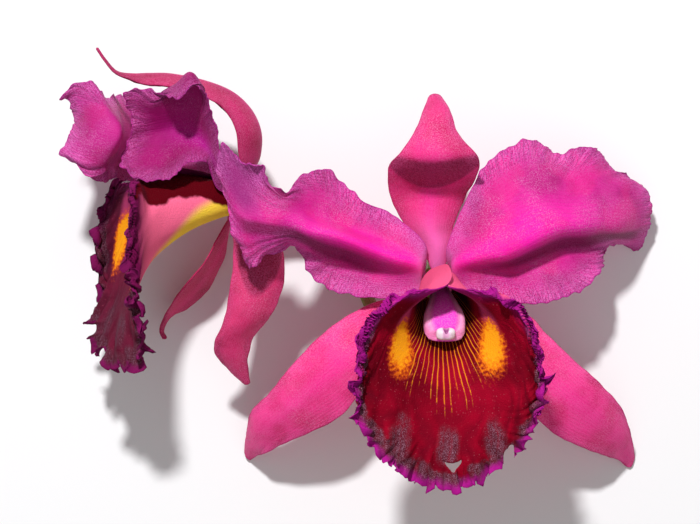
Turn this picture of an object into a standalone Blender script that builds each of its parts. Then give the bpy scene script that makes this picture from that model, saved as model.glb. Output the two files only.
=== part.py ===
"""Cut spray of two cattleya orchid blooms, lying on a table: one bloom faces up, the other lies on its side."""

import math

import bpy
import numpy as np

MM = 0.001

# The spray in millimetres. X is to the right and Y up as one looks down on the table, Z is height above it.
FRONT_HEART = (25.53, -5.8, 34.0)
SIDE_HEART = (-41.17, 23.2, 32.0)
FRONT_PITCH, FRONT_LEAN = 20.0, 4.5
SIDE_PITCH, SIDE_TURN = 10.0, 15.0
FRONT_LIP_SCALE = 1.05
SIDE_LIP_SCALE = 1.0

# Where the six parts of a bloom stand round its column, in degrees, and the flat of the ovary that carries them.
DORSAL, RIGHT_PETAL, LEFT_PETAL, RIGHT_SEPAL, LEFT_SEPAL = 90.0, 30.0, 150.0, -30.0, 210.0
SEAT_RADIUS = 6.0
SEAT_GAP = 0.35
CLAW_START, CLAW_END = 3.9, 6.4
CLAW_HALF_ANGLE = 20.0

SEPAL_THICKNESS = (0.9, 1.6)
PETAL_THICKNESS = (0.7, 1.4)
LIP_THICKNESS = 0.8
TABLE_EASE = 1.2

# Hand-shaped nets. Each row crosses the blade, and the rows run from the claw to the tip.
# X and Y count from the heart of the bloom and Z from the table, drawn as an eye a metre above the hearts sees them.
EYE = (-3.47, 1.5, 1040.0)
DRAWN_AT = 40.0
FRONT_DORSAL_NET = (
    ((-4.7, 11.3, 37.5), (-2.6, 12.0, 39.5), (0.0, 12.3, 40.5), (2.6, 12.6, 39.5), (4.7, 13.0, 37.5)),
    ((-9.7, 18.0, 38.0), (-5.8, 18.2, 40.5), (-2.0, 18.3, 41.5), (1.6, 18.5, 40.5), (5.2, 18.7, 38.0)),
    ((-13.0, 23.7, 39.5), (-7.8, 23.9, 41.0), (-2.6, 24.0, 41.7), (2.3, 24.1, 41.0), (7.2, 24.3, 38.5)),
    ((-15.4, 29.3, 42.5), (-8.9, 29.0, 42.0), (-2.4, 29.0, 42.0), (4.0, 29.5, 42.0), (10.2, 30.3, 40.5)),
    ((-16.3, 35.2, 48.0), (-8.9, 34.2, 46.0), (-1.5, 33.7, 45.0), (6.0, 34.5, 46.0), (13.0, 35.9, 47.5)),
    ((-15.3, 40.5, 53.5), (-8.0, 39.0, 54.5), (-0.7, 38.5, 54.5), (6.7, 39.5, 54.5), (14.0, 40.8, 53.5)),
    ((-11.7, 44.2, 56.0), (-6.0, 43.3, 58.5), (-0.3, 43.0, 59.0), (5.7, 43.7, 58.5), (11.7, 44.8, 56.0)),
    ((-7.2, 51.2, 54.0), (-3.8, 51.0, 56.5), (-0.3, 51.0, 57.0), (3.0, 51.0, 56.5), (6.5, 51.0, 54.0)),
    ((-4.5, 57.8, 49.5), (-2.3, 58.0, 51.5), (-0.3, 58.0, 52.0), (1.9, 58.0, 51.5), (4.3, 57.8, 49.5)),
    ((-3.0, 61.9, 44.5), (-2.0, 62.7, 45.0), (-0.8, 63.0, 45.2), (0.3, 62.7, 45.0), (1.4, 61.9, 44.5)),
)
FRONT_RIGHT_PETAL_NET = (
    ((4.7, 14.7, 42.0), (6.3, 11.7, 43.0), (7.7, 9.3, 43.0), (8.7, 7.0, 43.0), (10.0, 4.3, 41.0), (11.0, 2.0, 39.5),
     (11.7, -0.3, 39.0)),
    ((9.9, 28.3, 44.5), (11.9, 20.7, 44.0), (14.0, 13.7, 45.0), (16.0, 8.7, 46.5), (17.5, 5.3, 40.0), (19.3, 1.0, 38.5),
     (21.0, -3.3, 39.5)),
    ((15.2, 38.5, 42.5), (17.0, 29.7, 43.5), (20.0, 20.3, 45.5), (23.3, 10.3, 48.0), (25.0, 6.0, 38.0),
     (27.3, -0.3, 37.5), (29.7, -6.7, 39.5)),
    ((22.5, 44.8, 39.0), (24.7, 35.7, 40.5), (27.7, 25.7, 43.5), (31.7, 14.3, 47.0), (33.3, 9.0, 36.0),
     (36.0, 1.7, 36.5), (38.3, -5.8, 38.5)),
    ((31.7, 47.7, 35.0), (33.8, 38.0, 37.0), (36.5, 28.0, 40.5), (40.3, 18.3, 44.0), (42.7, 12.0, 33.0),
     (45.7, 4.3, 33.0), (47.7, -2.0, 35.0)),
    ((41.0, 43.8, 31.0), (43.0, 35.7, 33.5), (45.7, 27.3, 36.5), (48.7, 18.9, 39.5), (49.7, 12.7, 29.0),
     (52.0, 7.3, 28.5), (54.2, 3.5, 29.5)),
    ((48.0, 45.3, 27.5), (50.7, 37.3, 29.5), (53.0, 28.5, 32.0), (54.8, 19.6, 34.0), (55.2, 14.3, 26.0),
     (55.7, 11.7, 23.0), (56.0, 9.3, 22.0)),
    ((55.0, 44.3, 24.0), (57.7, 35.0, 25.0), (60.0, 26.5, 26.5), (61.0, 19.0, 27.0), (59.8, 15.3, 21.0),
     (58.3, 14.3, 16.5), (56.8, 14.3, 13.0)),
    ((59.7, 36.5, 18.5), (63.7, 34.0, 18.5), (66.2, 27.0, 18.5), (66.3, 20.0, 17.5), (64.7, 15.3, 13.0),
     (62.7, 13.3, 9.0), (60.5, 13.0, 6.0)),
    ((65.0, 35.3, 12.5), (68.5, 32.3, 12.0), (71.0, 28.0, 11.0), (71.0, 21.5, 9.0), (69.5, 15.7, 5.0),
     (68.0, 12.3, 0.5), (65.3, 11.7, -1.0)),
)
FRONT_LEFT_PETAL_NET = (
    ((-4.7, 13.5, 42.0), (-6.0, 11.0, 43.0), (-7.2, 8.7, 43.0), (-8.3, 6.3, 43.0), (-9.7, 3.7, 41.0), (-10.7, 1.3, 39.5),
     (-11.5, -1.0, 39.0)),
    ((-10.7, 19.9, 42.0), (-11.7, 16.0, 42.5), (-12.7, 12.3, 42.5), (-13.8, 8.3, 46.5), (-15.2, 3.7, 40.0),
     (-16.7, -0.3, 38.5), (-18.3, -3.7, 39.5)),
    ((-17.7, 24.7, 40.5), (-18.7, 19.7, 41.0), (-20.0, 15.0, 41.5), (-21.0, 11.0, 48.0), (-23.0, 5.0, 38.0),
     (-25.0, 0.3, 37.5), (-27.0, -4.1, 39.5)),
    ((-24.3, 27.2, 40.5), (-26.0, 22.3, 40.5), (-27.8, 17.8, 41.5), (-29.2, 14.2, 50.0), (-31.0, 8.0, 38.5),
     (-33.0, 3.0, 37.5), (-35.0, -2.0, 39.0)),
    ((-30.7, 33.2, 42.0), (-32.3, 27.0, 41.5), (-34.3, 20.7, 42.5), (-35.8, 16.3, 51.5), (-37.7, 9.8, 41.0),
     (-39.7, 5.3, 38.5), (-41.5, 2.7, 38.5)),
    ((-36.7, 38.1, 45.0), (-38.7, 30.7, 44.0), (-40.7, 23.3, 45.0), (-42.0, 17.8, 53.0), (-43.2, 13.3, 46.0),
     (-43.8, 10.3, 42.0), (-44.0, 7.3, 39.5)),
    ((-44.3, 36.8, 48.0), (-45.7, 31.3, 47.5), (-46.8, 25.9, 49.0), (-47.8, 20.7, 54.5), (-48.7, 15.7, 51.5),
     (-49.0, 14.0, 48.5), (-48.8, 12.7, 45.5)),
    ((-50.3, 30.3, 51.0), (-51.3, 28.3, 52.5), (-52.3, 25.8, 55.0), (-53.3, 21.7, 56.0), (-54.0, 16.3, 54.5),
     (-54.0, 12.7, 51.5), (-53.5, 11.0, 48.5)),
    ((-56.0, 33.7, 57.0), (-57.0, 31.3, 57.0), (-58.3, 28.3, 57.0), (-59.5, 23.0, 56.5), (-59.8, 17.0, 55.5),
     (-59.0, 11.7, 53.5), (-57.8, 8.2, 50.5)),
    ((-57.5, 38.3, 60.0), (-61.7, 35.3, 57.5), (-65.0, 34.0, 57.5), (-66.0, 25.7, 56.5), (-65.0, 18.3, 56.0),
     (-63.2, 12.0, 54.0), (-60.7, 6.3, 50.5)),
    ((-60.3, 39.7, 61.0), (-65.7, 41.3, 60.0), (-71.0, 46.5, 61.5), (-73.5, 38.7, 57.0), (-69.7, 26.0, 54.5),
     (-68.0, 16.3, 54.5), (-62.5, 5.0, 50.0)),
)
FRONT_RIGHT_SEPAL_NET = (
    ((8.5, -3.5, 32.0), (10.0, -6.5, 33.0), (10.5, -9.0, 33.5), (9.7, -12.0, 33.0), (8.0, -14.0, 31.5)),
    ((21.0, -7.0, 33.0), (20.8, -12.0, 34.5), (20.0, -17.0, 35.0), (18.5, -22.5, 34.0), (16.3, -28.7, 32.0)),
    ((30.7, -10.8, 34.0), (29.9, -16.7, 35.5), (28.7, -22.7, 36.0), (27.1, -29.7, 34.5), (25.3, -37.0, 31.5)),
    ((38.2, -18.5, 33.0), (37.5, -24.3, 35.0), (36.5, -30.3, 35.0), (35.0, -37.3, 33.0), (33.3, -44.8, 29.5)),
    ((46.8, -26.6, 30.0), (45.8, -32.0, 32.0), (44.5, -37.7, 32.0), (42.8, -44.2, 29.5), (41.0, -51.0, 26.0)),
    ((55.0, -34.0, 25.0), (53.7, -38.6, 26.5), (52.3, -43.3, 26.5), (51.0, -49.0, 24.0), (49.7, -55.0, 20.5)),
    ((61.5, -41.7, 17.5), (60.2, -45.3, 18.5), (58.9, -49.0, 18.5), (57.5, -53.0, 16.5), (56.2, -57.2, 13.5)),
    ((64.8, -51.3, 7.5), (64.1, -52.8, 8.0), (63.3, -54.3, 8.0), (62.2, -56.5, 6.5), (60.8, -58.8, 4.5)),
    ((65.7, -57.7, -1.0), (65.3, -59.3, -1.0), (64.8, -60.5, -1.0), (64.1, -61.0, -1.0), (63.2, -60.9, -1.0)),
)
FRONT_LEFT_SEPAL_NET = (
    ((-8.5, -3.5, 32.0), (-10.0, -6.5, 33.0), (-10.5, -9.0, 33.5), (-9.7, -12.0, 33.0), (-8.0, -14.0, 31.5)),
    ((-20.0, -6.0, 33.0), (-20.0, -11.5, 34.5), (-19.7, -17.0, 35.0), (-18.7, -22.0, 34.0), (-17.0, -27.0, 32.0)),
    ((-30.7, -11.3, 34.0), (-29.7, -17.3, 35.5), (-28.5, -23.7, 36.0), (-26.8, -29.7, 34.5), (-25.0, -35.5, 31.5)),
    ((-39.7, -18.2, 33.0), (-38.3, -24.3, 35.0), (-36.7, -30.5, 35.0), (-34.6, -37.3, 33.0), (-32.3, -44.0, 29.5)),
    ((-49.0, -28.0, 30.0), (-47.5, -33.0, 32.0), (-46.0, -38.3, 32.0), (-44.5, -44.0, 29.5), (-42.8, -49.7, 26.0)),
    ((-55.9, -36.5, 25.0), (-54.7, -40.5, 26.5), (-53.5, -44.7, 26.5), (-52.5, -49.0, 24.0), (-51.3, -53.3, 20.5)),
    ((-61.7, -42.3, 17.5), (-60.8, -45.5, 18.5), (-59.9, -49.0, 18.5), (-58.6, -52.7, 16.5), (-57.2, -56.3, 13.5)),
    ((-63.5, -50.7, 7.5), (-63.0, -52.3, 8.0), (-62.5, -54.0, 8.0), (-61.7, -56.0, 6.5), (-60.5, -57.5, 4.5)),
    ((-63.8, -55.5, -1.0), (-63.5, -56.7, -1.0), (-63.2, -57.7, -1.0), (-62.7, -58.3, -1.0), (-62.0, -58.5, -1.0)),
)
SIDE_DORSAL_NET = (
    ((1.3, 10.0, 26.0), (4.7, 10.3, 29.0), (5.7, 10.5, 33.0), (4.5, 10.3, 37.0), (1.0, 10.0, 41.0)),
    ((0.8, 15.7, 23.0), (6.0, 16.5, 28.0), (7.7, 16.8, 33.0), (5.8, 16.7, 38.0), (0.4, 16.3, 43.0)),
    ((0.2, 21.3, 21.0), (5.0, 22.5, 27.0), (7.2, 23.1, 33.0), (4.8, 22.7, 39.0), (-0.3, 22.0, 44.0)),
    ((-2.2, 26.7, 21.0), (2.0, 28.5, 27.0), (4.0, 29.4, 33.0), (1.7, 28.7, 39.0), (-2.7, 27.3, 44.5)),
    ((-7.0, 31.3, 22.0), (-3.7, 33.5, 28.0), (-2.0, 34.8, 34.0), (-4.0, 33.7, 39.0), (-7.5, 31.8, 44.0)),
    ((-14.3, 34.8, 24.0), (-12.0, 37.0, 29.0), (-11.0, 38.4, 34.0), (-12.3, 37.3, 38.5), (-14.8, 35.2, 43.0)),
    ((-23.0, 36.7, 27.0), (-22.0, 39.0, 31.0), (-21.7, 40.6, 34.5), (-22.3, 39.3, 38.0), (-23.3, 37.0, 42.0)),
    ((-30.0, 37.3, 30.0), (-29.5, 39.3, 33.0), (-29.3, 40.8, 35.5), (-29.7, 39.5, 38.5), (-30.2, 37.5, 41.5)),
    ((-35.3, 38.9, 33.0), (-35.0, 39.9, 35.0), (-34.9, 40.7, 37.0), (-35.1, 40.1, 39.0), (-35.5, 39.1, 41.0)),
    ((-40.4, 41.1, 35.0), (-40.2, 41.4, 36.5), (-40.1, 41.6, 38.0), (-40.2, 41.5, 39.5), (-40.4, 41.3, 41.0)),
    ((-44.1, 45.3, 37.0), (-44.0, 45.4, 38.3), (-43.9, 45.5, 39.5), (-43.9, 45.6, 40.7), (-44.0, 45.5, 42.0)),
    ((-46.8, 49.2, 39.0), (-46.7, 49.3, 39.9), (-46.6, 49.4, 40.8), (-46.6, 49.5, 41.7), (-46.7, 49.4, 42.6)),
)
SIDE_NEAR_PETAL_NET = (
    ((-2.5, 9.7, 43.0), (-3.3, 8.7, 43.3), (-4.1, 7.7, 43.3), (-4.9, 6.7, 43.0), (-5.6, 5.5, 42.7), (-6.2, 4.3, 42.3),
     (-6.7, 3.0, 42.0)),
    ((-5.8, 15.7, 46.0), (-6.7, 14.7, 45.0), (-7.4, 13.8, 44.3), (-8.0, 13.0, 44.0), (-8.5, 12.2, 44.0),
     (-8.9, 11.3, 44.3), (-9.3, 10.5, 45.0)),
    ((-7.0, 22.7, 49.0), (-8.3, 20.8, 46.0), (-9.5, 19.0, 44.0), (-10.6, 17.3, 43.0), (-11.4, 15.4, 43.8),
     (-12.0, 13.5, 46.0), (-12.4, 11.7, 48.5)),
    ((-8.5, 29.7, 52.0), (-10.7, 26.7, 47.0), (-12.5, 23.5, 43.0), (-14.0, 20.5, 40.5), (-14.9, 17.3, 42.0),
     (-15.4, 14.2, 45.5), (-15.7, 11.3, 49.5)),
    ((-10.7, 35.7, 57.0), (-13.3, 31.0, 49.5), (-15.6, 26.7, 43.0), (-17.2, 22.0, 38.5), (-18.0, 17.8, 40.3),
     (-18.3, 13.7, 44.5), (-18.6, 9.3, 50.0)),
    ((-15.0, 41.0, 60.0), (-17.3, 35.0, 51.5), (-19.2, 29.3, 43.0), (-20.9, 23.3, 37.5), (-21.7, 17.3, 39.5),
     (-22.1, 11.7, 44.3), (-22.3, 6.7, 50.5)),
    ((-20.7, 38.0, 55.0), (-22.3, 34.0, 48.5), (-23.9, 29.0, 42.0), (-25.5, 22.7, 37.0), (-26.3, 16.5, 38.7),
     (-26.6, 10.7, 43.5), (-26.5, 5.3, 50.0)),
    ((-26.3, 34.7, 47.5), (-28.0, 31.3, 44.5), (-29.7, 27.3, 41.0), (-31.0, 21.7, 37.0), (-31.7, 15.7, 38.5),
     (-31.8, 10.5, 42.5), (-31.5, 5.7, 48.5)),
    ((-32.3, 36.3, 45.5), (-33.0, 32.0, 43.0), (-33.3, 27.3, 40.0), (-33.7, 21.7, 38.0), (-36.3, 15.7, 38.5),
     (-36.2, 11.0, 42.0), (-35.3, 7.0, 46.5)),
    ((-37.8, 34.7, 44.0), (-36.5, 31.0, 41.5), (-35.2, 26.5, 39.3), (-35.2, 21.0, 38.3), (-37.0, 16.3, 39.0),
     (-38.8, 12.8, 41.5), (-38.0, 10.0, 44.5)),
)
SIDE_FAR_PETAL_NET = (
    ((-4.6, 6.3, 23.0), (-5.0, 5.2, 23.2), (-5.3, 4.2, 23.5), (-5.7, 3.1, 23.8), (-6.0, 2.0, 24.0), (-6.3, 1.0, 24.4),
     (-6.6, 0.0, 24.8)),
    ((-11.7, 13.3, 15.0), (-12.3, 11.3, 15.5), (-12.8, 9.3, 16.0), (-13.2, 7.3, 17.0), (-13.5, 5.3, 18.0),
     (-13.7, 3.3, 19.0), (-13.8, 1.3, 20.0)),
    ((-20.3, 22.7, 5.0), (-21.3, 19.3, 7.0), (-22.0, 16.0, 9.0), (-22.3, 12.7, 11.0), (-22.3, 9.3, 12.3),
     (-22.1, 6.3, 13.5), (-21.7, 3.3, 14.5)),
    ((-28.3, 29.7, -1.0), (-29.2, 25.3, 3.0), (-29.8, 21.0, 7.0), (-30.2, 16.7, 9.0), (-30.0, 12.3, 9.5),
     (-29.7, 8.0, 9.5), (-29.0, 4.0, 9.5)),
    ((-35.0, 33.0, 1.5), (-35.0, 28.3, 8.0), (-35.0, 23.7, 13.0), (-35.2, 19.0, 14.5), (-35.3, 14.3, 13.0),
     (-35.0, 9.7, 10.5), (-34.7, 5.0, 8.0)),
    ((-40.0, 33.7, 12.0), (-39.3, 28.5, 22.0), (-38.7, 24.0, 28.0), (-38.7, 19.3, 30.0), (-39.5, 14.7, 27.0),
     (-40.0, 10.3, 21.0), (-39.0, 5.7, 15.0)),
    ((-43.3, 33.0, 29.0), (-40.7, 28.3, 39.0), (-38.7, 24.0, 44.5), (-38.7, 19.7, 45.5), (-40.7, 15.3, 42.5),
     (-42.5, 11.0, 36.0), (-41.3, 7.0, 28.0)),
    ((-45.3, 34.7, 38.0), (-43.3, 29.7, 44.5), (-42.0, 24.7, 47.5), (-42.0, 19.7, 48.0), (-43.3, 14.7, 46.0),
     (-44.3, 9.5, 41.5), (-43.3, 4.7, 35.5)),
    ((-49.0, 38.0, 42.5), (-48.3, 32.3, 44.0), (-48.0, 26.7, 45.0), (-48.2, 21.0, 45.3), (-48.7, 15.7, 44.7),
     (-49.0, 10.7, 43.0), (-48.5, 6.3, 40.0)),
    ((-54.3, 37.8, 43.0), (-52.7, 33.0, 41.5), (-52.0, 28.0, 40.5), (-52.3, 23.0, 40.3), (-53.3, 18.3, 41.0),
     (-54.3, 14.3, 42.0), (-54.0, 11.0, 41.5)),
    ((-58.7, 33.0, 40.0), (-56.0, 31.7, 38.0), (-54.3, 28.7, 36.5), (-54.2, 24.7, 36.0), (-55.8, 21.0, 36.8),
     (-57.5, 17.5, 38.5), (-59.0, 14.3, 40.5)),
)
SIDE_NEAR_SEPAL_NET = (
    ((-1.5, -10.0, 38.0), (0.3, -10.3, 39.5), (2.3, -10.7, 40.0), (4.2, -11.0, 39.0), (6.0, -11.0, 37.0)),
    ((-1.0, -16.3, 38.0), (2.7, -16.7, 40.5), (6.7, -17.0, 41.0), (10.7, -17.0, 39.0), (14.3, -16.7, 35.5)),
    ((-1.3, -24.0, 37.5), (2.8, -24.5, 40.5), (7.2, -24.7, 41.0), (11.7, -25.0, 39.0), (15.8, -25.0, 35.0)),
    ((-2.5, -32.3, 36.5), (1.7, -32.5, 39.5), (6.0, -32.7, 40.0), (10.3, -32.8, 38.0), (14.4, -32.7, 34.5)),
    ((-4.3, -41.0, 34.0), (-0.5, -41.0, 36.5), (3.5, -40.7, 37.0), (7.3, -40.3, 35.5), (11.0, -39.8, 33.0)),
    ((-7.3, -48.3, 29.5), (-4.3, -48.0, 31.5), (-1.0, -47.7, 32.0), (2.3, -47.0, 31.0), (5.7, -46.3, 29.0)),
    ((-6.7, -52.7, 26.0), (-4.0, -53.0, 27.5), (-1.3, -53.0, 28.0), (1.3, -52.8, 27.0), (3.8, -52.3, 25.5)),
    ((-3.0, -57.5, 22.0), (-1.3, -57.8, 22.8), (0.4, -57.9, 23.0), (2.1, -57.7, 22.5), (3.7, -57.3, 21.5)),
    ((1.5, -61.3, 18.0), (2.3, -61.9, 18.2), (3.0, -62.3, 18.3), (3.7, -62.2, 18.2), (4.3, -61.8, 18.0)),
)
SIDE_FAR_SEPAL_NET = (
    ((-3.8, -9.0, 27.0), (-3.6, -10.7, 24.0), (-3.5, -12.0, 21.0), (-3.4, -13.0, 18.0), (-3.3, -14.0, 15.0)),
    ((-6.7, -14.3, 27.0), (-6.7, -16.3, 22.5), (-6.2, -18.0, 18.0), (-5.4, -19.3, 14.0), (-4.3, -20.3, 10.0)),
    ((-10.1, -20.7, 25.5), (-10.0, -22.7, 20.5), (-9.3, -24.5, 15.5), (-8.3, -25.7, 10.5), (-7.2, -26.5, 6.0)),
    ((-15.2, -27.2, 22.5), (-14.8, -29.0, 17.5), (-13.9, -30.5, 12.5), (-12.7, -31.7, 7.0), (-11.2, -32.5, 2.0)),
    ((-20.2, -33.2, 18.5), (-19.7, -34.7, 14.0), (-18.8, -35.8, 9.5), (-17.5, -36.5, 4.5), (-16.2, -37.0, 0.0)),
    ((-22.8, -37.5, 14.5), (-22.6, -38.2, 12.0), (-22.2, -38.7, 9.5), (-21.6, -39.0, 7.0), (-20.8, -39.2, 4.5)),
    ((-24.8, -41.5, 11.0), (-24.6, -41.7, 10.0), (-24.3, -41.8, 9.0), (-23.9, -41.8, 8.0), (-23.4, -41.7, 7.0)),
    ((-25.8, -44.7, 9.3), (-25.5, -44.9, 9.0), (-25.2, -45.0, 8.6), (-24.8, -45.0, 8.2), (-24.4, -44.8, 7.8)),
    ((-24.8, -47.2, 8.8), (-24.4, -47.2, 8.6), (-24.0, -47.1, 8.4), (-23.7, -47.0, 8.2), (-23.5, -46.7, 8.0)),
)

# The lip in its bloom's frame: right, up and forward. Rows run from the claw to the frilled margin, and each
# crosses half the lip, from its keel round to its free edge. The other half mirrors it.
LIP_NET = (
    ((0.0, -4.8, 0.33), (3.4, -3.5, 3.4), (4.8, 0.0, 4.4), (3.7, 3.4, 4.4), (0.7, 4.8, 4.4)),
    ((0.0, -5.5, 8.0), (4.9, -3.4, 8.3), (6.0, 1.4, 8.5), (4.4, 6.0, 8.5), (0.7, 7.6, 8.5)),
    ((0.0, -7.6, 17.5), (6.2, -4.6, 18.0), (7.9, 2.0, 18.5), (5.6, 8.2, 18.5), (0.7, 10.8, 18.0)),
    ((0.0, -11.5, 26.5), (8.6, -7.5, 27.0), (10.8, 1.2, 27.0), (7.6, 8.6, 26.7), (0.7, 11.8, 26.3)),
    ((0.0, -17.0, 34.5), (12.3, -12.0, 34.3), (15.4, -1.4, 33.0), (10.3, 7.4, 32.3), (1.2, 10.8, 32.0)),
    ((0.0, -27.5, 42.5), (17.3, -21.0, 41.5), (21.7, -7.0, 38.5), (16.3, 6.2, 35.5), (6.3, 10.8, 34.0)),
    ((0.0, -39.0, 47.5), (20.0, -30.5, 46.0), (26.5, -13.8, 43.0), (21.3, 4.6, 39.0), (11.3, 11.2, 36.0)),
    ((0.0, -49.5, 50.0), (21.0, -39.0, 48.5), (29.0, -19.5, 46.5), (25.6, 1.8, 42.0), (15.5, 11.0, 38.3)),
)
LIP_OVERLAP = 2.0
LIP_OVERLAP_RISE = 1.8
LIP_FRILLS, LIP_FRILL_HEIGHT = 19, 1.35
LIP_FOLDS, LIP_FOLD_HEIGHT = 6, 1.2
LIP_ROWS = ((0.0, 26), (0.06, 26), (0.14, 26), (0.29, 26), (0.43, 28), (0.57, 34), (0.71, 46), (0.84, 90), (0.93, 120), (1.0, 120))
# The end of the side bloom's lip is turned up to the eye, about a line this far forward.
SIDE_LIP_TWIST, TWIST_FROM, TWIST_TO, TWIST_AXIS = 20.0, -24.0, -46.0, 43.0

COLUMN_STATIONS = (
    (0.0, 0.3, 2.7, 2.7),
    (7.0, 0.8, 2.8, 2.7),
    (14.0, 0.9, 3.8, 3.1),
    (20.5, -0.4, 5.4, 3.4),
    (25.0, -2.4, 6.7, 3.4),
    (28.3, -4.6, 6.5, 3.0),
    (30.2, -6.2, 4.9, 2.2),
)
CAP_MIDDLE, CAP_SIZE = (-6.4, 32.3), (3.2, 2.2, 1.7)

STEM_ROUTE = ((0.0, -52.0, 3.3), (0.0, -36.0, 3.3), (-0.5, -19.0, 3.8))
STEM_RADIUS, JOINT_RADIUS = 3.4, 4.3
FRONT_OVARY_ROUTE = ((-0.5, -18.65, 4.2), (-0.9, -8.0, 4.6), (-0.9, 2.5, 7.5), (-0.5, 8.0, 14.0), (-0.1, 6.6, 23.0))
# The side bloom's stalk leaves the stem's left side just before its end. These points count from the stem's end.
SIDE_OVARY_START = ((-4.8, -2.8, 4.2), (-9.5, -2.4, 4.4), (-19.0, 6.5, 7.0))
SIDE_OVARY_ROUTE = ((35.0, -15.5, 12.0), (22.5, -5.0, 19.5), (11.0, 0.3, 26.5))
OVARY_RADII = (2.3, 2.3, 2.4, 2.8, 3.2, 3.4)
OVARY_SIDES = 12


def catmull_rom(points, places):
    """Points of the smooth curve through the given ones, at places that run from 0 to 1."""
    points = np.asarray(points, float)
    padded = np.concatenate([[2 * points[0] - points[1]], points, [2 * points[-1] - points[-2]]])
    spans = len(points) - 1
    at = np.clip(np.asarray(places, float), 0, 1) * spans
    span = np.minimum(at.astype(int), spans - 1)
    t = (at - span).reshape(-1, *[1] * (points.ndim - 1))
    a, b, c, d = (padded[span + k] for k in range(4))
    return 0.5 * (2 * b + (c - a) * t + (2 * a - 5 * b + 4 * c - d) * t**2 + (3 * b - a - 3 * c + d) * t**3)


def bloom_axes(forward):
    """Right, up and forward of a bloom, with its right side as level as it goes."""
    forward = np.asarray(forward, float) / np.linalg.norm(forward)
    right = np.cross((0.0, 1.0, 0.0), forward)
    right /= np.linalg.norm(right)
    return right, np.cross(forward, right), forward


def front_axes():
    """The front bloom faces the sky, with its lip a little low and to the right."""
    pitch, lean = math.radians(FRONT_PITCH), math.radians(FRONT_LEAN)
    return bloom_axes((math.cos(pitch) * math.sin(lean), -math.sin(pitch), math.cos(pitch) * math.cos(lean)))


def side_axes():
    """The side bloom faces left along the table, with its lip a little low and turned up to the eye."""
    pitch, turn = math.radians(SIDE_PITCH), math.radians(SIDE_TURN)
    return bloom_axes((-math.cos(pitch) * math.cos(turn), -math.sin(pitch), math.cos(pitch) * math.sin(turn)))


def as_drawn(points):
    """Where points drawn from the eye stand once their height is taken into account."""
    points = np.array(points, float)
    spread = (EYE[2] - points[..., 2:]) / (EYE[2] - DRAWN_AT)
    points[..., :2] = EYE[:2] + (points[..., :2] - EYE[:2]) * spread
    return points


def in_bloom(heart, axes, right, up, forward):
    """A point of the bloom's own frame, in the spray's."""
    return np.asarray(heart) + right * axes[0] + up * axes[1] + forward * axes[2]


def claw_rows(heart, axes, angle, columns, lift):
    """The two rows of a net that lie on the flat of the ovary, from the column outwards."""
    rows = []
    for radius, height in ((CLAW_START, 0.0), (CLAW_END, lift)):
        row = []
        for side in np.linspace(1, -1, columns):
            turn = math.radians(angle + side * CLAW_HALF_ANGLE)
            row.append(in_bloom(heart, axes, radius * math.cos(turn), radius * math.sin(turn), height))
        rows.append(row)
    return rows


def pressed_on_table(height, lowest):
    """Heights with what would go through the table laid along it."""
    over = (height - lowest) / TABLE_EASE
    return lowest + TABLE_EASE * np.where(over > 30, over, np.log1p(np.exp(np.minimum(over, 30))))


def normals_of(grid):
    along = np.gradient(grid, axis=0)
    across = np.gradient(grid, axis=1)
    normal = np.cross(along, across)
    return normal / np.maximum(np.linalg.norm(normal, axis=2, keepdims=True), 1e-9)


def add_mesh(name, points, faces, colour, roughness=0.5):
    """One closed, smooth-shaded object with its own material. Points are in millimetres."""
    mesh = bpy.data.meshes.new(name)
    mesh.from_pydata((np.asarray(points) * MM).tolist(), [], [list(map(int, f)) for f in faces])
    material = bpy.data.materials.new(name)
    material.use_nodes = True
    shader = material.node_tree.nodes["Principled BSDF"]
    shader.inputs["Base Color"].default_value = (*colour, 1.0)
    shader.inputs["Roughness"].default_value = roughness
    mesh.materials.append(material)
    mesh.shade_smooth()
    obj = bpy.data.objects.new(name, mesh)
    bpy.context.scene.collection.objects.link(obj)
    return obj


def signed_volume(points, faces):
    corners = np.asarray(points)[np.asarray(faces)]
    return np.einsum("ij,ij->i", corners[:, 0], np.cross(corners[:, 1], corners[:, 2])).sum() / 6


def two_skins(top, bottom, triangles, rim):
    """The closed body between two skins that are split into triangles alike. Rim is the loop round both."""
    count = len(top)
    points = np.concatenate([top, bottom])
    faces = [tuple(t) for t in triangles] + [(c + count, b + count, a + count) for a, b, c in triangles]
    for a, b in zip(rim, rim[1:] + rim[:1]):
        faces += [(b, a, a + count), (b, a + count, b + count)]
    if signed_volume(points, faces) < 0:
        faces = [f[::-1] for f in faces]
    return points, faces


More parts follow.
